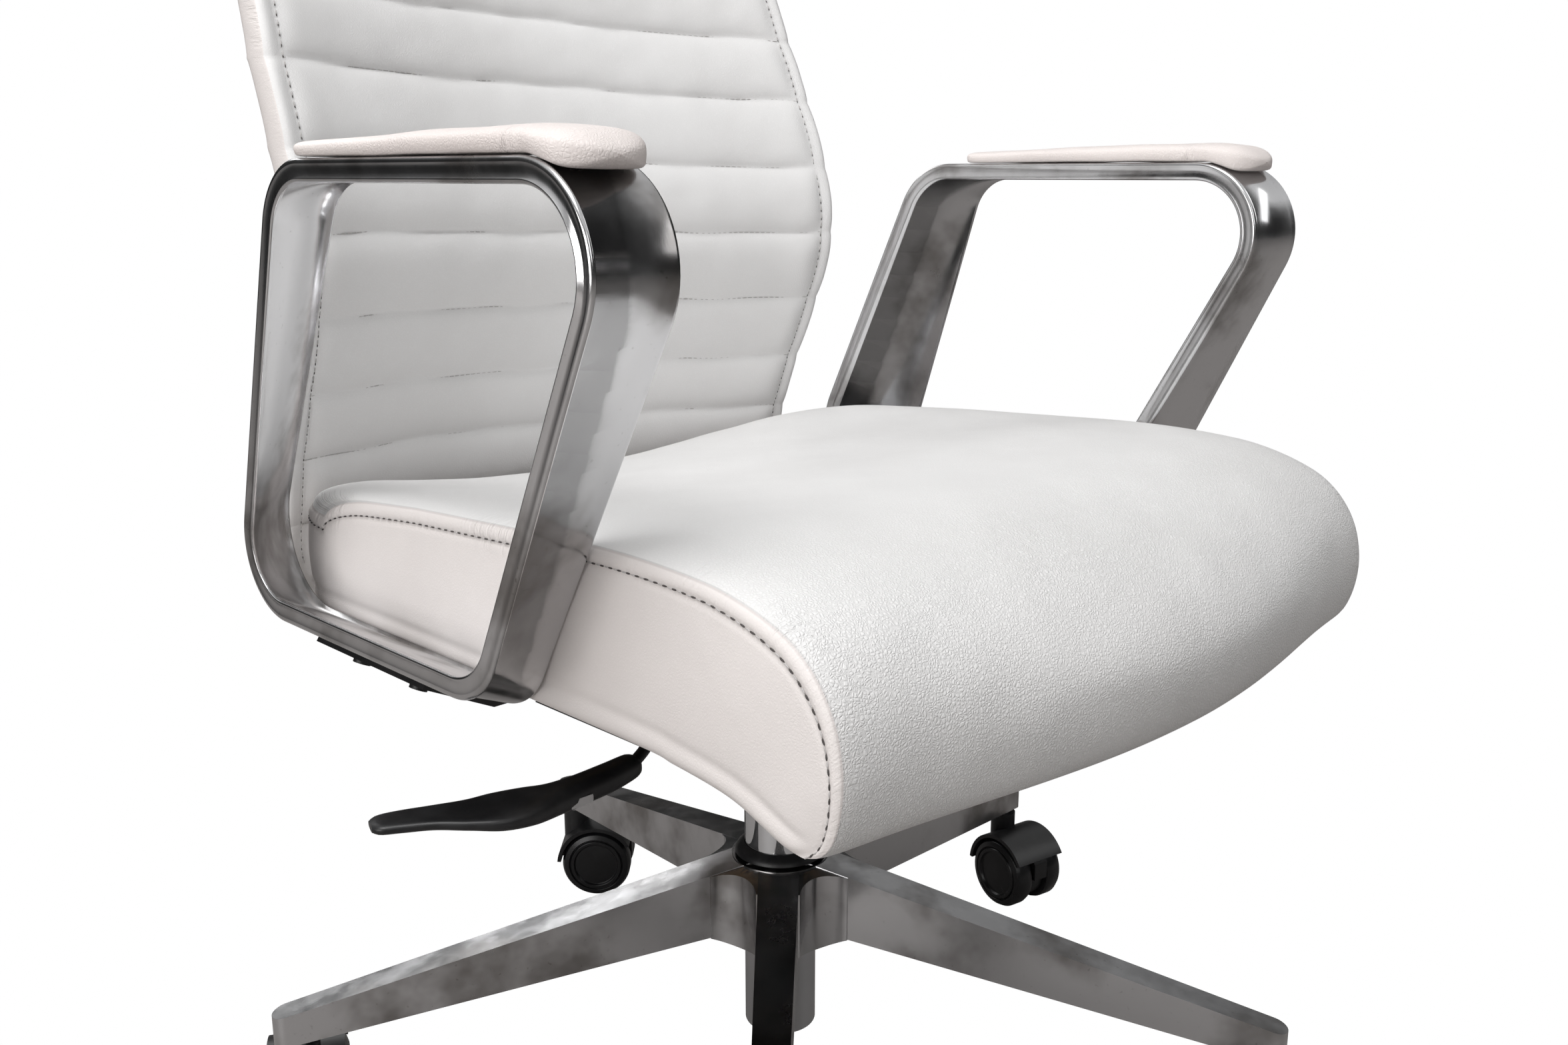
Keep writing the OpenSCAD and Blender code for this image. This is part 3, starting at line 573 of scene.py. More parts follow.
def make_seat():
    line = smooth_path(SEAT_SEAM, 190)
    outward = line_outward(line)
    spread = np.sin(np.linspace(-math.pi / 2, math.pi / 2, 121))
    across = (0.35 * np.linspace(-1, 1, 121) + 0.65 * spread) * SEAT_HALF_W
    columns = [seat_top(x, line, outward) for x in across]
    top = np.stack(columns, 1)
    sag = ripple(top, 150.0, 4) * 1.5 + ripple(top, 55.0, 9) * 0.35
    inner = np.clip((SEAT_HALF_W - np.abs(top[..., 0])) / 50.0, 0, 1)
    inner *= np.clip(np.arange(len(line)) / 18.0, 0, 1)[:, None]
    top[..., 2] += sag * inner * np.clip(outward[:, 1], 0, 1)[:, None]
    top[..., 1] -= sag * inner * np.clip(-outward[:, 0], 0, 1)[:, None]

    rows, cols = top.shape[:2]
    run = run_of(line)
    seam = np.zeros((rows, cols, 2))
    seam[..., 0] = run[:, None]
    seam[..., 1] = (SEAT_HALF_W - np.abs(top[..., 0]))
    shape = Shape()
    shape.grid(top, seam=seam)

    # The side panel runs from the seam down to the hem, round both sides and the rear
    edge = np.concatenate([top[:, 0], top[-1, 1:-1], top[::-1, -1]])
    hem_line = smooth_path(SEAT_HEM, 200)
    hem_y, hem_z = hem_line[:, 0], hem_line[:, 1]
    edge_run = run_of(edge)
    total = edge_run[-1]
    side_length = run_of(top[:, 0])[-1]
    down = np.concatenate([np.linspace(0, 0.55, 34), np.linspace(0.57, 1, 26)])
    panel = np.zeros((len(edge), len(down), 3))
    seam = np.zeros((len(edge), len(down), 2))
    for i, start in enumerate(edge):
        from_front = min(edge_run[i], total - edge_run[i])
        x = start[0]
        if abs(abs(x) - SEAT_HALF_W) < 0.01:
            share = from_front / side_length
            y_low = HEM_FRONT_Y + HEM_LENGTH * share ** 1.28
            y_low = y_low + (start[1] - y_low) * eased(0.35, 0.62, share)
            out = np.array([math.copysign(1, x), 0])
        else:
            y_low = start[1]
            before, after = edge[i - 1][:2], edge[i + 1][:2]
            way = after - before
            out = np.array([-way[1], way[0]]) / np.linalg.norm(way)
            out *= 1 if out @ start[:2] > 0 else -1
        z_low = np.interp(y_low, hem_y, hem_z)
        bottom = np.array([x, y_low, z_low])
        deep = np.linalg.norm(start - bottom)
        fade = eased(10, 70, deep)
        from_seam = down * deep
        from_hem = (1 - down) * deep
        swell = 3.2 * np.sin(np.pi * np.clip(down, 0, 1)) ** 0.8 * fade
        welt = 0.8 * np.exp(-((from_seam - 4.5) / 3.5) ** 2) * eased(4, 20, deep)
        stitched = -0.9 * np.exp(-((from_seam - 9.0) / 1.6) ** 2) * eased(12, 30, deep)
        crease = -0.8 * np.exp(-((from_hem - 15.0) / 3.0) ** 2) * eased(30, 60, deep)
        roll = 0.9 * np.exp(-((from_hem - 6.0) / 5.0) ** 2) * eased(20, 40, deep)
        tuck = -4.0 * np.exp(-from_hem / 2.2) * fade
        edge_lip = 1.2 * (1 - np.exp(-from_seam / 1.2)) * fade
        push = swell + welt + stitched + crease + roll + tuck + edge_lip
        push[0] = 0
        panel[i, :, 0] = x + (bottom[0] - x) * down + out[0] * push
        panel[i, :, 1] = start[1] + (y_low - start[1]) * down + out[1] * push
        panel[i, :, 2] = start[2] + (z_low - start[2]) * down
        seam[i, :, 0] = edge_run[i]
        seam[i, :, 1] = from_seam
    sway = ripple(panel, 120.0, 21) * 0.8 * np.sin(np.pi * down)[None, :]
    panel[..., 0] += sway * np.sign(panel[..., 0])
    shape.grid(panel, seam=seam, slot=1)

    # The underside closes it, raised over the board
    hem = panel[:, -1]
    lip = top[0, 1:-1][::-1]
    loop = np.concatenate([hem, lip])
    inner_loop = loop.copy()
    middle = np.array([0, -20])
    toward = middle - loop[:, :2]
    inner_loop[:, :2] += toward / np.linalg.norm(toward, axis=1, keepdims=True) * 15
    inner_loop[:, 2] = np.where(loop[:, 2] > 356, 361.6, loop[:, 2] + 1.0)
    board_loop = inner_loop.copy()
    board_loop[:, :2] += toward / np.linalg.norm(toward, axis=1, keepdims=True) * 16
    board_loop[:, 2] = 361.7
    rings = np.stack([loop, inner_loop, board_loop], 1)
    rings = np.concatenate([rings, rings[:1]])
    deep_seam = np.full(rings.shape[:2] + (2,), 60.0)
    shape.grid(rings, seam=deep_seam, slot=1)
    shape.lid(board_loop, slot=1)
    seat = shape.piece("seat_leather", [SEAT_LEATHER, SIDE_LEATHER])
    finished(seat, "seat", "white_leather", "seat_cushion", fill=0.9)
    return panel


seat_panel = make_seat()


# ---- Back ------------------------------------------------------------------------------

BACK_LOW_Z = 338.0
BACK_HIGH_Z = 1072.0
BACK_HALF_W = 234.0
BACK_HOLLOW = 45.0
BACK_LOW_R = 46.0
BACK_HIGH_R = 62.0
# Where the front edge of the back's side stands, as (z, y), and its width as a share of the widest
LEAN = np.array([(338, 243), (433, 224), (473, 208), (524, 186), (555, 174), (590, 169), (633, 179),
                 (684, 198), (728, 214), (900, 269), (1100, 318)], float)
TAPER = np.array([(338, 0.985), (480, 0.99), (580, 1), (690, 1), (765, 0.965), (1100, 0.83)], float)
# The sewn channels across the back, by height
CHANNELS = [392, 437, 482, 532, 585, 636, 689, 737] + [737 + 49 * k for k in range(1, 7)]
ROW_INSET = 12.0
SEAM_SLOPE = 0.026
COVER_INSET = 17.0
BACK_SIDE_DEPTH = 22.6
# How far behind the seams of the back's front the rear cover starts and ends
COVER_START = 24.4
COVER_END = 41.5
COVER_ROW = 14


def back_half(z, inset=0.0):
    """Half the back's width at a height, with its rounded corners."""
    over = np.clip(z - (BACK_HIGH_Z - BACK_HIGH_R), 0, BACK_HIGH_R)
    under = np.clip(BACK_LOW_Z + BACK_LOW_R - z, 0, BACK_LOW_R)
    return (BACK_HALF_W * read_smooth(TAPER, z, 40) - inset
            - (BACK_HIGH_R - np.sqrt(BACK_HIGH_R ** 2 - over ** 2))
            - (BACK_LOW_R - np.sqrt(BACK_LOW_R ** 2 - under ** 2)))


def back_face(x, z):
    """Where the seams of the back's front lie."""
    return read_smooth(LEAN, z, 26) + BACK_HOLLOW * (1 - (x / BACK_HALF_W) ** 2)


def back_rows():
    """Heights close together in the corners and at each channel's seam."""
    low = BACK_LOW_Z + BACK_LOW_R * (1 - np.cos(np.linspace(0, math.pi / 2, 20)))
    high = BACK_HIGH_Z - BACK_HIGH_R * (1 - np.cos(np.linspace(math.pi / 2, 0, 24)))
    rows = [low, high]
    marks = [low[-1]] + [c for c in CHANNELS if low[-1] < c < high[0]] + [high[0]]
    for a, b in zip(marks[:-1], marks[1:]):
        t = np.linspace(0, 1, 15)
        rows.append(a + (b - a) * (0.45 * t + 0.55 * (0.5 - 0.5 * np.cos(math.pi * t))))
    return np.unique(np.round(np.concatenate(rows), 3))


def wander(x, z):
    """How far a channel's seam strays from its height."""
    return 0.8 * np.sin(x / 31.0 + z / 90.0) + 0.5 * np.sin(x / 13.0 + z / 40.0) - SEAM_SLOPE * x


def channel_puff(x, z, edge):
    """How far the padding stands in front of the seams; edge is the distance to the outline."""
    marks = np.array([BACK_LOW_Z - 30] + CHANNELS + [BACK_HIGH_Z + 18])
    level = z - wander(x, z)
    index = np.clip(np.searchsorted(marks, level) - 1, 0, len(marks) - 2)
    share = (level - marks[index]) / (marks[index + 1] - marks[index])
    crest = np.clip(1 - np.abs(2 * share - 1) ** 2.3, 0, 1) ** 0.62
    from_row = np.abs(edge - ROW_INSET)
    row = 1 - 0.75 * np.exp(-(from_row / 7.0) ** 1.4)
    outer = np.where(edge < ROW_INSET, 0.45, 1.0)
    return 6.2 * crest * row * outer + 1.6 * (1 - np.exp(-edge / 3.0)) * np.exp(-(edge / 30.0) ** 2)


def outline_gap(x, z):
    """The distance from a point of the back to its outline."""
    side = back_half(z) - np.abs(x)
    return np.maximum(np.minimum(side, np.minimum(z - BACK_LOW_Z, BACK_HIGH_Z - z)), 0)


def back_point(x, z):
    edge = outline_gap(x, z)
    puff = channel_puff(x, z, edge)
    fall = 3.4 * np.exp(-edge / 2.4)
    return np.stack([x, back_face(x, z) - puff + fall + 1.6, z], -1)


def rim_of(grid):
    """The outline of a grid, as one loop."""
    return np.concatenate([grid[0, :-1], grid[:-1, -1], grid[-1, :0:-1], grid[:0:-1, 0]])


def make_back():
    z = back_rows()[:, None]
    t = np.linspace(-1, 1, 141)
    t = 0.55 * t + 0.45 * np.sin(t * math.pi / 2)
    x = t[None, :] * back_half(z)
    from_end = np.minimum(z - BACK_LOW_Z, BACK_HIGH_Z - z)
    z = z - SEAM_SLOPE * x * eased(0, 60, from_end)
    face = back_point(x, z)
    face[..., 1] -= ripple(face, 130.0, 31) * 0.9 + ripple(face, 38.0, 32) * 0.28
    seam = np.zeros(face.shape[:2] + (2,))
    marks = np.array(CHANNELS, float)
    nearest = np.abs(z[..., None] - marks).min(-1)
    seam[..., 0] = x + z * 2.0
    seam[..., 1] = np.minimum(nearest, np.abs(outline_gap(x, z) - ROW_INSET)) + 2.0
    shape = Shape()
    shape.grid(face, seam=seam)
    loop = rim_of(face)
    middle = np.array([0, 0, 705.0])
    out = loop - middle
    out[:, 1] = 0
    out[:, 0] *= 2.2
    out /= np.linalg.norm(out, axis=1, keepdims=True)
    depth = np.array([0, 0.6, 1.6, 4, 8, 12, 16, 19, 21.2, 22.2, BACK_SIDE_DEPTH])
    swell = 1.8 * np.sin(np.pi * np.clip(depth / BACK_SIDE_DEPTH, 0, 1)) ** 0.7
    swell[-3:] = (0.6, -0.6, -2.2)
    strip = loop[:, None, :] + out[:, None, :] * swell[None, :, None]
    strip[..., 1] = loop[:, 1][:, None] + depth[None, :]
    around = np.concatenate([[0], np.cumsum(np.linalg.norm(np.diff(loop, axis=0), axis=1))])
    seam = np.zeros(strip.shape[:2] + (2,))
    seam[..., 0] = around[:, None]
    seam[..., 1] = depth[None, :] + 4
    strip = np.concatenate([strip, strip[:1]])
    seam = np.concatenate([seam, seam[:1]])
    shape.grid(strip, seam=seam, slot=1)
    rear = face.copy()
    rear[..., 0] *= 0.985
    rear[..., 1] = back_face(x, z) + BACK_SIDE_DEPTH + 1.0
    join = np.stack([strip[:-1, -1], rim_of(rear)], 1)
    shape.grid(np.concatenate([join, join[:1]]), slot=1)
    shape.grid(rear, slot=1)
    piece = shape.piece("back_leather", [BACK_LEATHER, SIDE_LEATHER])
    finished(piece, "seat", "white_leather", "back_cushion", fill=0.8)


def make_rear_cover():
    """The panel behind the back: smooth, a little crowned, with a sewn edge."""
    z = back_rows()[2:-2:2][:, None]
    t = np.linspace(-1, 1, 71)
    z = z + 0 * t[None, :]
    tall = (BACK_HIGH_Z - BACK_LOW_Z) / 2
    middle = BACK_LOW_Z + tall
    high = middle + (z - middle) * (1 - COVER_INSET / tall)
    half = back_half(high, COVER_INSET - 3)
    x = t[None, :] * half
    edge = np.minimum(half - np.abs(x), np.minimum(high - high.min(), high.max() - high))
    round_off = 5.0 * np.exp(-edge / 5.0)
    row = 1.1 * np.exp(-((edge - COVER_ROW) / 2.0) ** 2)
    outer = np.stack([x, back_face(x, high) + COVER_END - round_off - row, high], -1)
    outer[..., 1] += ripple(outer, 170.0, 41) * 0.8 * (1 - np.exp(-edge / 30))
    inner = np.stack([t[None, :] * back_half(z, 11.0), back_face(x, z) + COVER_START, z], -1)
    seam = np.zeros(outer.shape[:2] + (2,))
    seam[..., 0] = x + z
    seam[..., 1] = np.abs(edge - COVER_ROW) + 5
    shape = Shape()
    shape.grid(outer, seam=seam)
    band = np.stack([rim_of(outer), rim_of((outer + inner) / 2), rim_of(inner)], 1)
    band[:, 1, 0] *= 1.006
    shape.grid(np.concatenate([band, band[:1]]))
    shape.grid(inner)
    piece = shape.piece("rear_cover", [SIDE_LEATHER])
    finished(piece, "seat", "white_leather", "back_cover", fill=0.4)


make_back()
make_rear_cover()


# ---- Arms ------------------------------------------------------------------------------

BAND_THICK = 12.0
BAND_IN_X = 250.0
BAND_OUT_X = 301.0
BAND_TOP_Z = 634.0
OUTER_LOOP = (((-226, BAND_TOP_Z), 48), ((-102, 378), 44), ((157, 378), 42), ((75.5, BAND_TOP_Z), 45))
INNER_LOOP = (((-228, BAND_TOP_Z), 48), ((-69, 354), 46), ((233, 354), 60), ((99, BAND_TOP_Z), 50))


def unit(v):
    return v / np.linalg.norm(v)


def loop_points(loop, corner_steps=26, side_steps=9):
    """The points of a rounded loop and their outward directions."""
    corners = []
    for i, (at, r) in enumerate(loop):
        at = np.array(at, float)
        a = unit(np.array(loop[i - 1][0]) - at)
        b = unit(np.array(loop[(i + 1) % len(loop)][0]) - at)
        half = math.acos(a @ b) / 2
        centre = at + unit(a + b) * r / math.sin(half)
        first = at + a * r / math.tan(half) - centre
        start = math.atan2(first[1], first[0])
        angles = start + (math.pi - 2 * half) * np.linspace(0, 1, corner_steps + 1)
        out = np.stack([np.cos(angles), np.sin(angles)], 1)
        corners.append((centre + out * r, out))
    points, outs = [], []
    for i, (place, out) in enumerate(corners):
        following = corners[(i + 1) % len(corners)][0][0]
        points.append(place)
        outs.append(out)
        t = np.linspace(0, 1, side_steps + 1)[1:-1, None]
        points.append(place[-1] + (following - place[-1]) * t)
        outs.append(np.repeat(out[-1:], side_steps - 1, 0))
    return np.concatenate(points), np.concatenate(outs)


def band_section():
    """The outline across the band, as (across, through) in millimetres, with rounded edges."""
    wide = BAND_OUT_X - BAND_IN_X
    r = 2.4
    rim = []
    for cx, cy, turn in ((wide - r, r, -90), (wide - r, BAND_THICK - r, 0),
                         (r, BAND_THICK - r, 90), (r, r, 180)):
        before = math.radians(turn)
        rim.append((cx - 0.5 * -math.sin(before), cy + 0.5 * -math.cos(before)))
        for step in range(6):
            a = math.radians(turn + 18 * step)
            rim.append((cx + r * math.cos(a), cy + r * math.sin(a)))
        after = math.radians(turn + 90)
        rim.append((cx + r * math.cos(after) + 0.5 * -math.sin(after), cy + r * math.sin(after)
                    + 0.5 * math.cos(after)))
    return np.array(rim)


def make_arm(side_name, side):
    outer, outer_way = loop_points(OUTER_LOOP)
    inner, inner_way = loop_points(INNER_LOOP)
    section = band_section()
    wide = BAND_OUT_X - BAND_IN_X
    share = (section[:, 0] / wide)[None, :, None]
    through = section[:, 1][None, :, None]
    place = inner[:, None, :] * (1 - share) + outer[:, None, :] * share
    way = inner_way[:, None, :] * (1 - share) + outer_way[:, None, :] * share
    way /= np.linalg.norm(way, axis=2, keepdims=True)
    place = place - way * through
    x = np.broadcast_to(BAND_IN_X + section[:, 0][None, :], place.shape[:2])
    rings = np.concatenate([side * x[..., None], place], 2)
    rings = np.concatenate([rings, rings[:1]])
    shape = Shape()
    shape.grid(rings, wrap=True)
    piece = shape.piece(side_name + "_arm_band", [ALLOY])
    finished(piece, "seat", "polished_alloy", side_name + "_arm")


PAD_MID_X = 275.0
PAD_HALF_W = 26.0
PAD_BACK_Y = 57.0
PAD_FRONT_Y = -185.0
PLEAT_PITCH = 4.3
PLEAT_DEPTH = 0.42
# The pad's underside and the top of its crown along its length, as (y, z)
PAD_UNDER = np.array([(-185, 629), (-181, 627.5), (-172, 628.2), (-163, 631.6), (-153, 634.3),
                      (57, 634.4)], float)
PAD_CROWN = np.array([(-185, 640), (-173, 644.8), (-150, 647.0), (-100, 646.6), (-40, 645.2),
                      (57, 642.6)], float)


def make_pad(side_name, side):
    """A leather pad with rounded ends, crowned across and turned under at its edges."""
    y = np.concatenate([PAD_FRONT_Y + 26 * (1 - np.cos(np.linspace(0, math.pi / 2, 26))),
                        np.linspace(PAD_FRONT_Y + 26, PAD_BACK_Y - 18, 132)[1:-1],
                        PAD_BACK_Y - 18 * (1 - np.cos(np.linspace(math.pi / 2, 0, 18)))])
    front = np.clip((PAD_FRONT_Y + 26 - y) / 26, 0, 1)
    rear = np.clip((y - (PAD_BACK_Y - 18)) / 18, 0, 1)
    half = PAD_HALF_W * (1 - front ** 2.6) ** 0.5 * (1 - 0.55 * rear ** 2.4)
    half = np.maximum(half, 1.2)
    low = read_smooth(PAD_UNDER, y, 3)
    high = read_smooth(PAD_CROWN, y, 6)
    squeeze = np.clip((1 - front ** 5) * (1 - rear ** 5), 0, 1) ** 0.5
    mid = low + (high - low) * 0.42
    rings = []
    for i in range(len(y)):
        up = (high[i] - mid[i]) * max(squeeze[i], 0.08)
        down = (mid[i] - low[i]) * max(squeeze[i], 0.08)
        a = np.linspace(0, math.pi, 33)
        top = np.stack([np.sign(np.cos(a)) * np.abs(np.cos(a)) ** 0.72 * half[i],
                        mid[i] + up * np.sin(a) ** 0.62], 1)
        b = np.linspace(math.pi, 2 * math.pi, 15)[1:-1]
        under = np.stack([np.sign(np.cos(b)) * np.abs(np.cos(b)) ** 0.30 * half[i] * 0.985,
                          mid[i] - down * np.abs(np.sin(b)) ** 0.35], 1)
        section = np.concatenate([top, under])
        rings.append(np.stack([section[:, 0], np.full(len(section), y[i]), section[:, 1]], 1))
    rings = np.array(rings)
    fold = np.exp(-((rings[..., 1] + 141) / 13.0) ** 2)
    height = np.clip((rings[..., 2] - 634) / 12.0, 0, 1)
    flank = np.clip(np.abs(rings[..., 0]) / PAD_HALF_W, 0, 1) ** 4
    wave = np.sin((rings[..., 1] + rings[..., 2] * 0.5) * 2 * math.pi / PLEAT_PITCH)
    pleat = wave * PLEAT_DEPTH * fold * flank * (1 - height * 0.5)
    rings[..., 0] += np.sign(rings[..., 0]) * pleat
    rings[..., 0] -= np.sign(rings[..., 0]) * 1.1 * fold * flank
    rings[..., 2] += ripple(rings, 60.0, 51) * 0.35
    rings[..., 0] = side * (PAD_MID_X + rings[..., 0])
    seam = np.zeros(rings.shape[:2] + (2,))
    seam[..., 0] = rings[..., 1]
    seam[..., 1] = 3 + (1 - fold) * 30 + height * 8
    shape = Shape()
    shape.grid(rings, wrap=True, seam=seam)
    shape.lid(rings[0])
    shape.lid(rings[-1])
    piece = shape.piece(side_name + "_pad_leather", [PAD_LEATHER])
    finished(piece, "seat", "white_leather", side_name + "_arm_pad", fill=0.9)


for arm_name, arm_side in SIDES:
    make_arm(arm_name, arm_side)
    make_pad(arm_name, arm_side)


# ---- Sewing ----------------------------------------------------------------------------

def row_tree():
    """Repeats a small rounded bead along every line of a mesh: stitches, dark beads of painted shade at
    the needle holes, and staples.
    """
    tree = bpy.data.node_groups.new("beads_along_lines", "GeometryNodeTree")
    face = tree.interface
    face.new_socket("Geometry", in_out="INPUT", socket_type="NodeSocketGeometry")
    for name in ("Pitch", "Start", "Long", "Wide", "High"):
        face.new_socket(name, in_out="INPUT", socket_type="NodeSocketFloat")
    face.new_socket("Turn", in_out="INPUT", socket_type="NodeSocketFloat")
    face.new_socket("Finish", in_out="INPUT", socket_type="NodeSocketMaterial")
    face.new_socket("Geometry", in_out="OUTPUT", socket_type="NodeSocketGeometry")

    def node(kind, **settings):
        made = tree.nodes.new(kind)
        for key, value in settings.items():
            setattr(made, key, value)
        return made

    def join(source, out, target, into):
        tree.links.new(source.outputs[out], target.inputs[into])

    given = node("NodeGroupInput")
    line = node("GeometryNodeMeshToCurve")
    join(given, "Geometry", line, 0)
    trim = node("GeometryNodeTrimCurve", mode="LENGTH")
    join(line, 0, trim, "Curve")
    trim.inputs[5].default_value = 1000.0
    join(given, "Start", trim, 4)
    evened = node("GeometryNodeResampleCurve", mode="LENGTH")
    join(trim, 0, evened, "Curve")
    join(given, "Pitch", evened, "Length")
    bead = node("GeometryNodeMeshUVSphere")
    bead.inputs["Segments"].default_value = 8
    bead.inputs["Rings"].default_value = 5
    bead.inputs["Radius"].default_value = 0.5
    size = node("ShaderNodeCombineXYZ")
    for key, axis in (("Long", 0), ("Wide", 1), ("High", 2)):
        join(given, key, size, axis)
    sized = node("GeometryNodeTransform")
    join(bead, 0, sized, 0)
    join(size, 0, sized, "Scale")
    tangent = node("GeometryNodeInputTangent")
    aim = node("FunctionNodeAlignRotationToVector", axis="X")
    join(tangent, 0, aim, "Vector")
    spin = node("FunctionNodeRandomValue", data_type="FLOAT")
    minus = node("ShaderNodeMath", operation="MULTIPLY")
    join(given, "Turn", minus, 0)
    minus.inputs[1].default_value = -1.0
    join(minus, 0, spin, 2)
    join(given, "Turn", spin, 3)
    spin.inputs["Seed"].default_value = 7
    axis = node("FunctionNodeAxisAngleToRotation")
    join(spin, 1, axis, "Angle")
    turned = node("FunctionNodeRotateRotation", rotation_space="LOCAL")
    join(aim, 0, turned, 0)
    join(axis, 0, turned, 1)
    placed = node("GeometryNodeInstanceOnPoints")
    join(evened, 0, placed, "Points")
    join(sized, 0, placed, "Instance")
    join(turned, 0, placed, "Rotation")
    real = node("GeometryNodeRealizeInstances")
    join(placed, 0, real, 0)
    soft = node("GeometryNodeSetShadeSmooth")
    join(real, 0, soft, 0)
    painted = node("GeometryNodeSetMaterial")
    join(soft, 0, painted, 0)
    join(given, "Finish", painted, "Material")
    result = node("NodeGroupOutput")
    join(painted, 0, result, 0)
    return tree


ROWS = row_tree()


def beads(name, lines, finish, pitch, size, start=0.0, turn=0.0):
    """A plain mesh of beads along lines of points, everything in millimetres."""
    points, edges = [], []
    for line in lines:
        base = len(points)
        points.extend((np.asarray(line) * MM).tolist())
        edges.extend((base + i, base + i + 1) for i in range(len(line) - 1))
    mesh = bpy.data.meshes.new(name + "_lines")
    mesh.from_pydata(points, edges, [])
    source = add(name + "_lines", mesh)
    rows = source.modifiers.new("rows", "NODES")
    rows.node_group = ROWS
    values = {"Pitch": pitch * MM, "Start": start * MM, "Long": size[0] * MM, "Wide": size[1] * MM,
              "High": size[2] * MM, "Turn": turn, "Finish": finish}
    for socket in ROWS.interface.items_tree:
        if socket.in_out == "INPUT" and socket.name in values:
            rows[socket.identifier] = values[socket.name]
    source.update_tag()
    bpy.context.view_layer.update()
    seen = source.evaluated_get(bpy.context.evaluated_depsgraph_get())
    made = bpy.data.meshes.new_from_object(seen)
    made.name = name
    bpy.data.objects.remove(source)
    return add(name, made)


def sew(name, lines, body, pitch=6.5, long=3.6, thick=0.95, dip=(3.4, 1.1)):
    """A row of stitches, with dark beads between them as painted shade in the dips where the thread goes
    under.
    """
    stitches = beads(name + "_stitches", lines, THREAD, pitch, (long, thick, thick * 0.9), turn=0.09)
    # Dark beads between the stitches: painted shade in the needle dips
    holes = beads(name + "_needle_dip_shades", lines, NEEDLE_DIP_SHADE, pitch, (*dip, dip[1] * 0.8),
                  start=pitch / 2, turn=0.12)
    for piece in (stitches, holes):
        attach(piece, body)


def seat_rows(panel):
    """The top-stitching on the side panel, 9 mm under its seam, round the sides and the rear."""
    gap = 9.0
    line = []
    for i in range(len(panel)):
        column = panel[i]
        run = run_of(column)
        if run[-1] < gap * 1.4:
            continue
        at = np.array([np.interp(gap, run, column[:, k]) for k in range(3)])
        before, after = panel[max(i - 1, 0), 8], panel[min(i + 1, len(panel) - 1), 8]
        way = unit(after - before)
        down = unit(column[10] - column[2])
        out = unit(np.cross(down, way))
        if out[:2] @ (at[:2] - np.array([0, -40])) < 0:
            out = -out
        line.append(at + out * 0.45)
    return [np.array(line)]


def back_line(x, z, lift):
    point = back_point(x, z)
    point[..., 1] -= lift
    return point


def channel_rows():
    rows = []
    for mark in CHANNELS:
        half = float(back_half(np.array(mark, float))) - ROW_INSET - 2
        x = np.linspace(-half, half, 160)
        z = mark + wander(x, mark)
        rows.append(back_line(x, z, 0.30))
    return rows


def edge_rows():
    z = np.linspace(BACK_LOW_Z + BACK_LOW_R * 0.7, BACK_HIGH_Z - BACK_HIGH_R * 0.7, 260)
    return [back_line(side * (back_half(z) - ROW_INSET), z, 0.55) for _, side in SIDES]


def cover_rows():
    """Round the rear cover, 14 mm in from its edge."""
    z = np.linspace(380, 1026, 240)
    half = back_half(z, COVER_INSET - 3) - COVER_ROW
    rows = []
    for _, side in SIDES:
        x = side * half
        rows.append(np.stack([x, back_face(x, z) + COVER_END - 1.2, z], 1))
    return rows


sew("seat", seat_rows(seat_panel), "seat")
sew("back_edge", edge_rows(), "seat", dip=(2.2, 0.8))
sew("back_channel", channel_rows(), "seat", pitch=5.0, long=4.3, thick=0.8, dip=(0.5, 0.5))
sew("rear_cover", cover_rows(), "seat", pitch=6.5)


# ---- Metal and plastic pieces ----------------------------------------------------------

BODY_OF = {node: body
           for body, nodes in frame["record"]["behaviour"]["bodies"].items() for node in nodes}
SLOT_OF = {part["node"]: part["material_slot"] for part in frame["record"]["subparts"]}


def rounded_copy(node, name, finish, edge, segments=2, sharp=32):
    """A clean copy of a node with its edges rounded, which stands for it."""
    source = frame["nodes"][node].data
    mesh = bpy.data.meshes.new(name)
    mesh.from_pydata([tuple(v.co) for v in source.vertices], [],
                     [tuple(p.vertices) for p in source.polygons])
    work = bmesh.new()
    work.from_mesh(mesh)
    bmesh.ops.remove_doubles(work, verts=work.verts, dist=2e-6)
    bmesh.ops.dissolve_degenerate(work, edges=work.edges, dist=1e-6)
    bmesh.ops.dissolve_limit(work, angle_limit=math.radians(0.6), verts=work.verts, edges=work.edges)
    work.to_mesh(mesh)
    work.free()
    mesh.materials.append(finish)
    mesh.polygons.foreach_set("use_smooth", [True] * len(mesh.polygons))
    mesh.set_sharp_from_angle(angle=math.radians(sharp))
    piece = add(name, mesh)
    if edge:
        bevel = piece.modifiers.new("rounded", "BEVEL")
        bevel.width = edge * MM
        bevel.segments = segments
        bevel.limit_method = "ANGLE"
        bevel.angle_limit = math.radians(sharp)
        bevel.harden_normals = True
        bevel.use_clamp_overlap = True
    return finished(piece, BODY_OF[node], SLOT_OF[node], node)


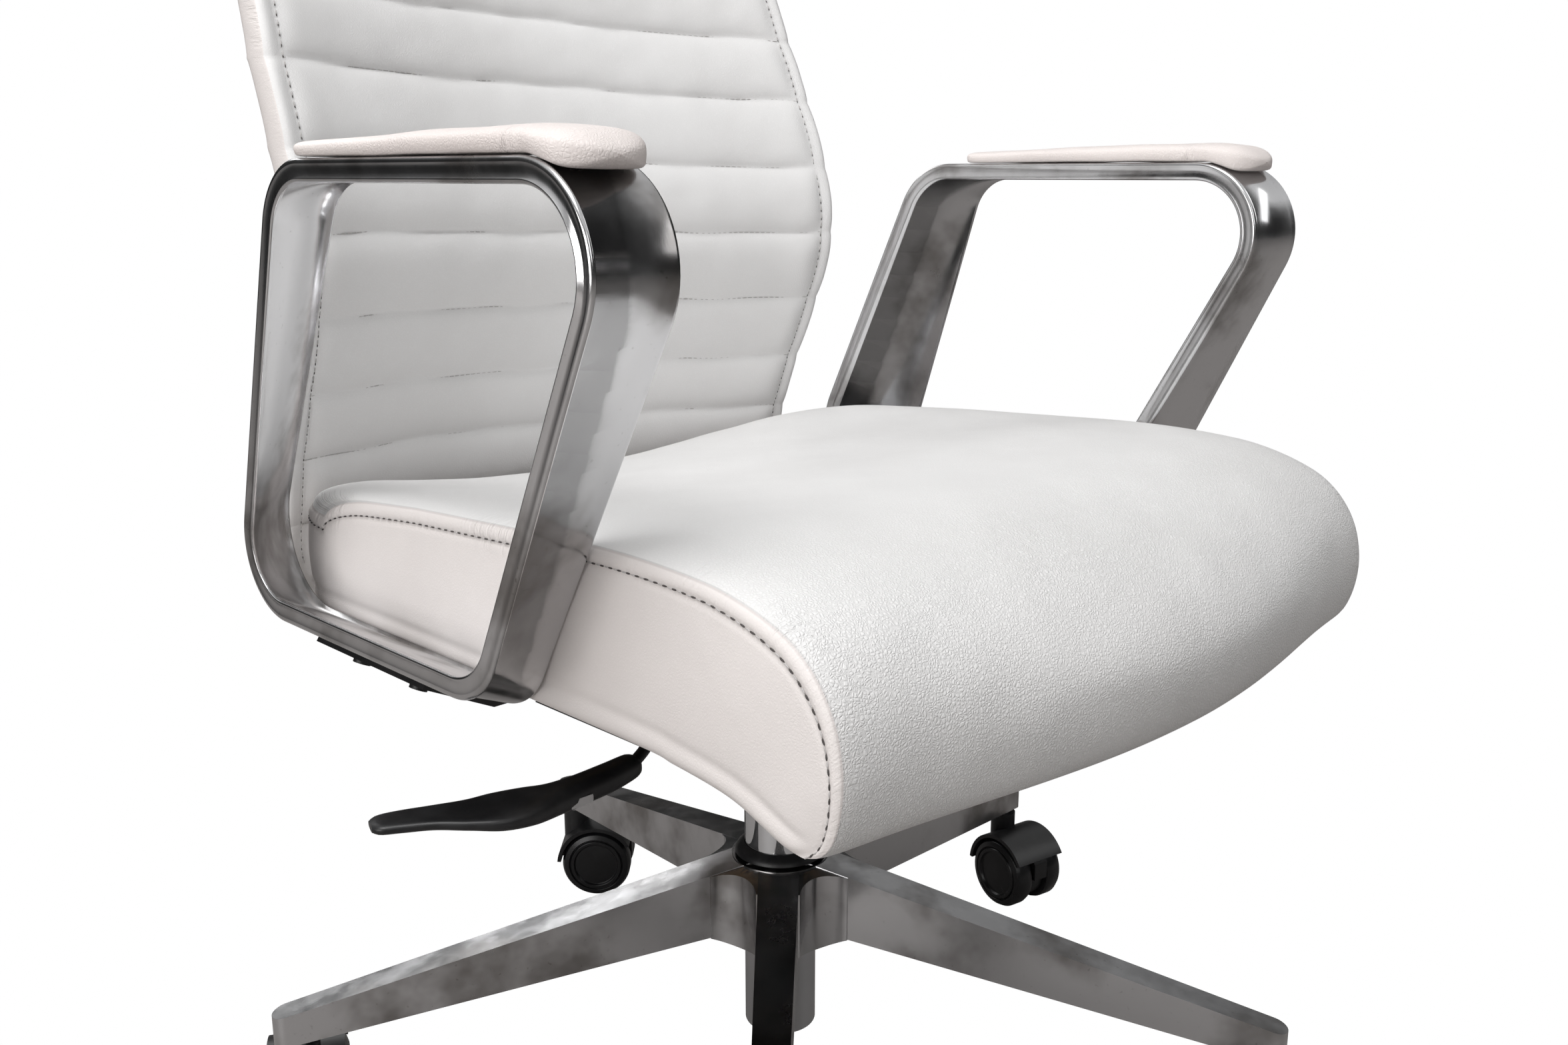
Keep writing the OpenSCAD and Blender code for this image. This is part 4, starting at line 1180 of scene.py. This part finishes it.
rounded_copy("star_base", "cast_star_base", ALLOY, 1.7, 3)
rounded_copy("column_collar", "hub_collar", PLASTIC, 0.6)
rounded_copy("column_tube", "lift_outer_tube", CHROME, 0.6)
rounded_copy("pressure_tube", "lift_inner_tube", CHROME, 0.5)
rounded_copy("piston_rod", "lift_rod_ground", STEEL, 0.3)
rounded_copy("column_bushing", "lift_bushing", PLASTIC, 0.3)
rounded_copy("column_clip", "lift_clip", STEEL, 0.2)
rounded_copy("thrust_bearing", "lift_thrust_bearing", STEEL, 0.4)
rounded_copy("release_button", "lift_button", PLASTIC, 0.6)
rounded_copy("tilt_housing", "pressed_tilt_housing", COATED, 1.6, 3)
rounded_copy("tilt_pin", "tilt_pin_rod", STEEL, 0.8)
rounded_copy("tension_bolt", "tension_screw", STEEL, 0.5)
rounded_copy("tension_knob", "tension_grip", PLASTIC, 1.2, 3)
rounded_copy("lock_slider", "lock_slide", PLASTIC, 0.6)
rounded_copy("seat_plate", "pressed_seat_plate", COATED, 0.8)
rounded_copy("seat_board", "seat_plywood", PLY, 0.5)
rounded_copy("back_shell", "back_plywood", PLY, 0)
rounded_copy("back_bracket", "back_strap", COATED, 0.7)
rounded_copy("seat_bolts", "seat_screws", STEEL, 0.4)
rounded_copy("back_bolts", "back_screws", STEEL, 0.4)
rounded_copy("arm_bolts", "arm_screws", COATED, 0.4)
for arm_name, arm_side in SIDES:
    rounded_copy(arm_name + "_arm_bracket", arm_name + "_arm_mount", COATED, 0.8)
for k in range(1, 6):
    label = "caster_%d_" % k
    rounded_copy(label + "stem", label + "pin", STEEL, 0.4)
    rounded_copy(label + "hood", label + "cover", PLASTIC, 0.7)
    rounded_copy(label + "axle", label + "spindle", STEEL, 0.4)
    for wheel in "ab":
        rounded_copy(label + "wheel_" + wheel, label + "roller_" + wheel, NYLON, 0.4)

spring = rounded_copy("tension_spring", "tension_coil", STEEL, 0, sharp=60)


LEVER_Z = 322.3
ROD_R = 3.5
FULCRUM_X = -36
FULCRUM_R = 2


def make_lever_rod():
    """The bent round rod, with its cross pin."""
    path = smooth_path([(4, 0, LEVER_Z), (-60, 0, LEVER_Z), (-92, 0, LEVER_Z), (-104, -4, 321.7),
                        (-128, -22, 319.3), (-144, -37, 313.3), (-158, -50, 305), (-180, -62, 302)], 90)
    way = np.gradient(path, axis=0)
    way /= np.linalg.norm(way, axis=1, keepdims=True)
    across = np.cross(way, (0, 0, 1))
    across /= np.linalg.norm(across, axis=1, keepdims=True)
    over = np.cross(across, way)
    a = np.linspace(0, 2 * math.pi, 25)[:-1]
    rings = (path[:, None] + ROD_R * (across[:, None] * np.cos(a)[None, :, None]
                                      + over[:, None] * np.sin(a)[None, :, None]))
    shape = Shape()
    shape.grid(rings, wrap=True)
    shape.lid(rings[0])
    shape.lid(rings[-1])
    pin = np.array([[(FULCRUM_X + r * math.cos(t), y, LEVER_Z + r * math.sin(t)) for t in a]
                    for y, r in ((-9, 1.7), (-8.7, FULCRUM_R), (8.7, FULCRUM_R), (9, 1.7))])
    shape.grid(pin, wrap=True)
    shape.lid(pin[0])
    shape.lid(pin[-1])
    piece = shape.piece("lever_bent_rod", [COATED], sharp=50)
    finished(piece, "lever", "black_steel", "lever_rod")


def make_lever_handle():
    """The moulded grip: a round barrel on the rod that flattens into a dished paddle."""
    # Along the grip: (x, y, z, half width, half height, how dished)
    stations = np.array([(-179, -62, 302.4, 5.0, 4.6, 0), (-181, -62.5, 302.2, 7.4, 6.6, 0),
                         (-198, -65, 301.6, 8.4, 7.6, 0), (-220, -66, 301, 9.0, 7.8, 0),
                         (-236, -65, 300.4, 11.5, 7.6, 0), (-250, -61.5, 300, 17, 7.4, 0.8),
                         (-265, -56, 300, 19, 6.4, 2.2), (-279, -49.5, 300.6, 15.5, 5.0, 2.6),
                         (-294, -41, 301.3, 12, 4.2, 1.8), (-309, -33, 301.2, 10.5, 3.9, 1.0),
                         (-319, -28.5, 301, 9, 3.4, 0.3), (-323, -27, 300.8, 5.5, 2.0, 0)], float)
    fine = smooth_path(stations, 70)
    way = np.gradient(fine[:, :2], axis=0)
    way /= np.linalg.norm(way, axis=1, keepdims=True)
    a = np.linspace(0, 2 * math.pi, 41)[:-1]
    u = np.sign(np.cos(a)) * np.abs(np.cos(a)) ** 0.8
    v = np.sign(np.sin(a)) * np.abs(np.sin(a)) ** 0.8
    rings = np.zeros((len(fine), len(a), 3))
    for i, (x, y, z, wide, tall, dish) in enumerate(fine):
        rings[i, :, 0] = x - way[i, 1] * u * wide
        rings[i, :, 1] = y + way[i, 0] * u * wide
        rings[i, :, 2] = z + v * tall - dish * np.clip(v, 0, 1) * (1 - u ** 2)
    shape = Shape()
    shape.grid(rings, wrap=True)
    shape.lid(rings[0])
    shape.lid(rings[-1])
    clip = []
    for x, fat in ((-217, 0.4), (-217.6, 1.0), (-231.4, 1.0), (-232, 0.4)):
        y = -66 - 9.0 - (x + 217) * 0.01
        clip.append([(x, y + 2.2, 298.6 + 2.6 * fat), (x, y - 0.6 * fat, 298.6 + 2.4 * fat),
                     (x, y - 0.6 * fat, 298.6 - 2.4 * fat), (x, y + 2.2, 298.6 - 2.6 * fat)])
    clip = np.array(clip)
    shape.grid(clip, wrap=True, slot=1)
    shape.lid(clip[0], slot=1)
    shape.lid(clip[-1], slot=1)
    piece = shape.piece("lever_grip", [PLASTIC, STEEL], sharp=40)
    finished(piece, "lever", "black_plastic", "lever_handle")


make_lever_rod()
make_lever_handle()
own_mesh(spring)


def make_dust_cover():
    """The black cloth stapled under the board: the node's lower face, cut fine and let hang a little."""
    source = frame["nodes"]["dust_cover"].data
    work = bmesh.new()
    work.from_mesh(source)
    bmesh.ops.remove_doubles(work, verts=work.verts, dist=2e-6)
    work.normal_update()
    up = [f for f in work.faces if f.normal.z > -0.9]
    bmesh.ops.delete(work, geom=up, context="FACES")
    bmesh.ops.dissolve_limit(work, angle_limit=0.01, verts=work.verts, edges=work.edges)
    for axis, count in ((0, 14), (1, 16)):
        for k in range(-count, count + 1):
            place, way = [0.0, 0.0, 0.0], [0.0, 0.0, 0.0]
            place[axis] = k * 0.018
            way[axis] = 1.0
            everything = work.verts[:] + work.edges[:] + work.faces[:]
            bmesh.ops.bisect_plane(work, geom=everything, plane_co=place, plane_no=way)
    loose = [v for v in work.verts if not v.link_faces]
    bmesh.ops.delete(work, geom=loose, context="VERTS")
    area = sum(f.calc_area() for f in work.faces)
    spots = np.array([v.co[:] for v in work.verts]) / MM
    hang = np.abs(ripple(spots, 90.0, 61)) * 1.1 + np.abs(ripple(spots, 34.0, 62)) * 0.5
    for vert, drop in zip(work.verts, hang):
        vert.co.z += 0.6 * MM - drop * MM * (0 if vert.is_boundary else 1)
    mesh = bpy.data.meshes.new("dust_cloth")
    work.to_mesh(mesh)
    work.free()
    mesh.materials.append(CLOTH)
    mesh.polygons.foreach_set("use_smooth", [True] * len(mesh.polygons))
    piece = add("dust_cloth", mesh)
    thick = piece.modifiers.new("thick", "SOLIDIFY")
    thick.thickness = 0.5 * MM
    finished(piece, "seat", "black_cloth", "dust_cover")
    x = np.linspace(-205, 205, 60)
    front = np.stack([x, np.full_like(x, -226), np.full_like(x, 348.3)], 1)
    y = np.linspace(-200, 130, 60)
    sides = [np.stack([np.full_like(y, side * 222), y, np.full_like(y, 348.3)], 1) for _, side in SIDES]
    staples = beads("dust_staples", [front] + sides, STEEL, 34.0, (11.0, 0.9, 0.8),
                    start=12.0, turn=0.25)
    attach(staples, "seat")


make_dust_cover()
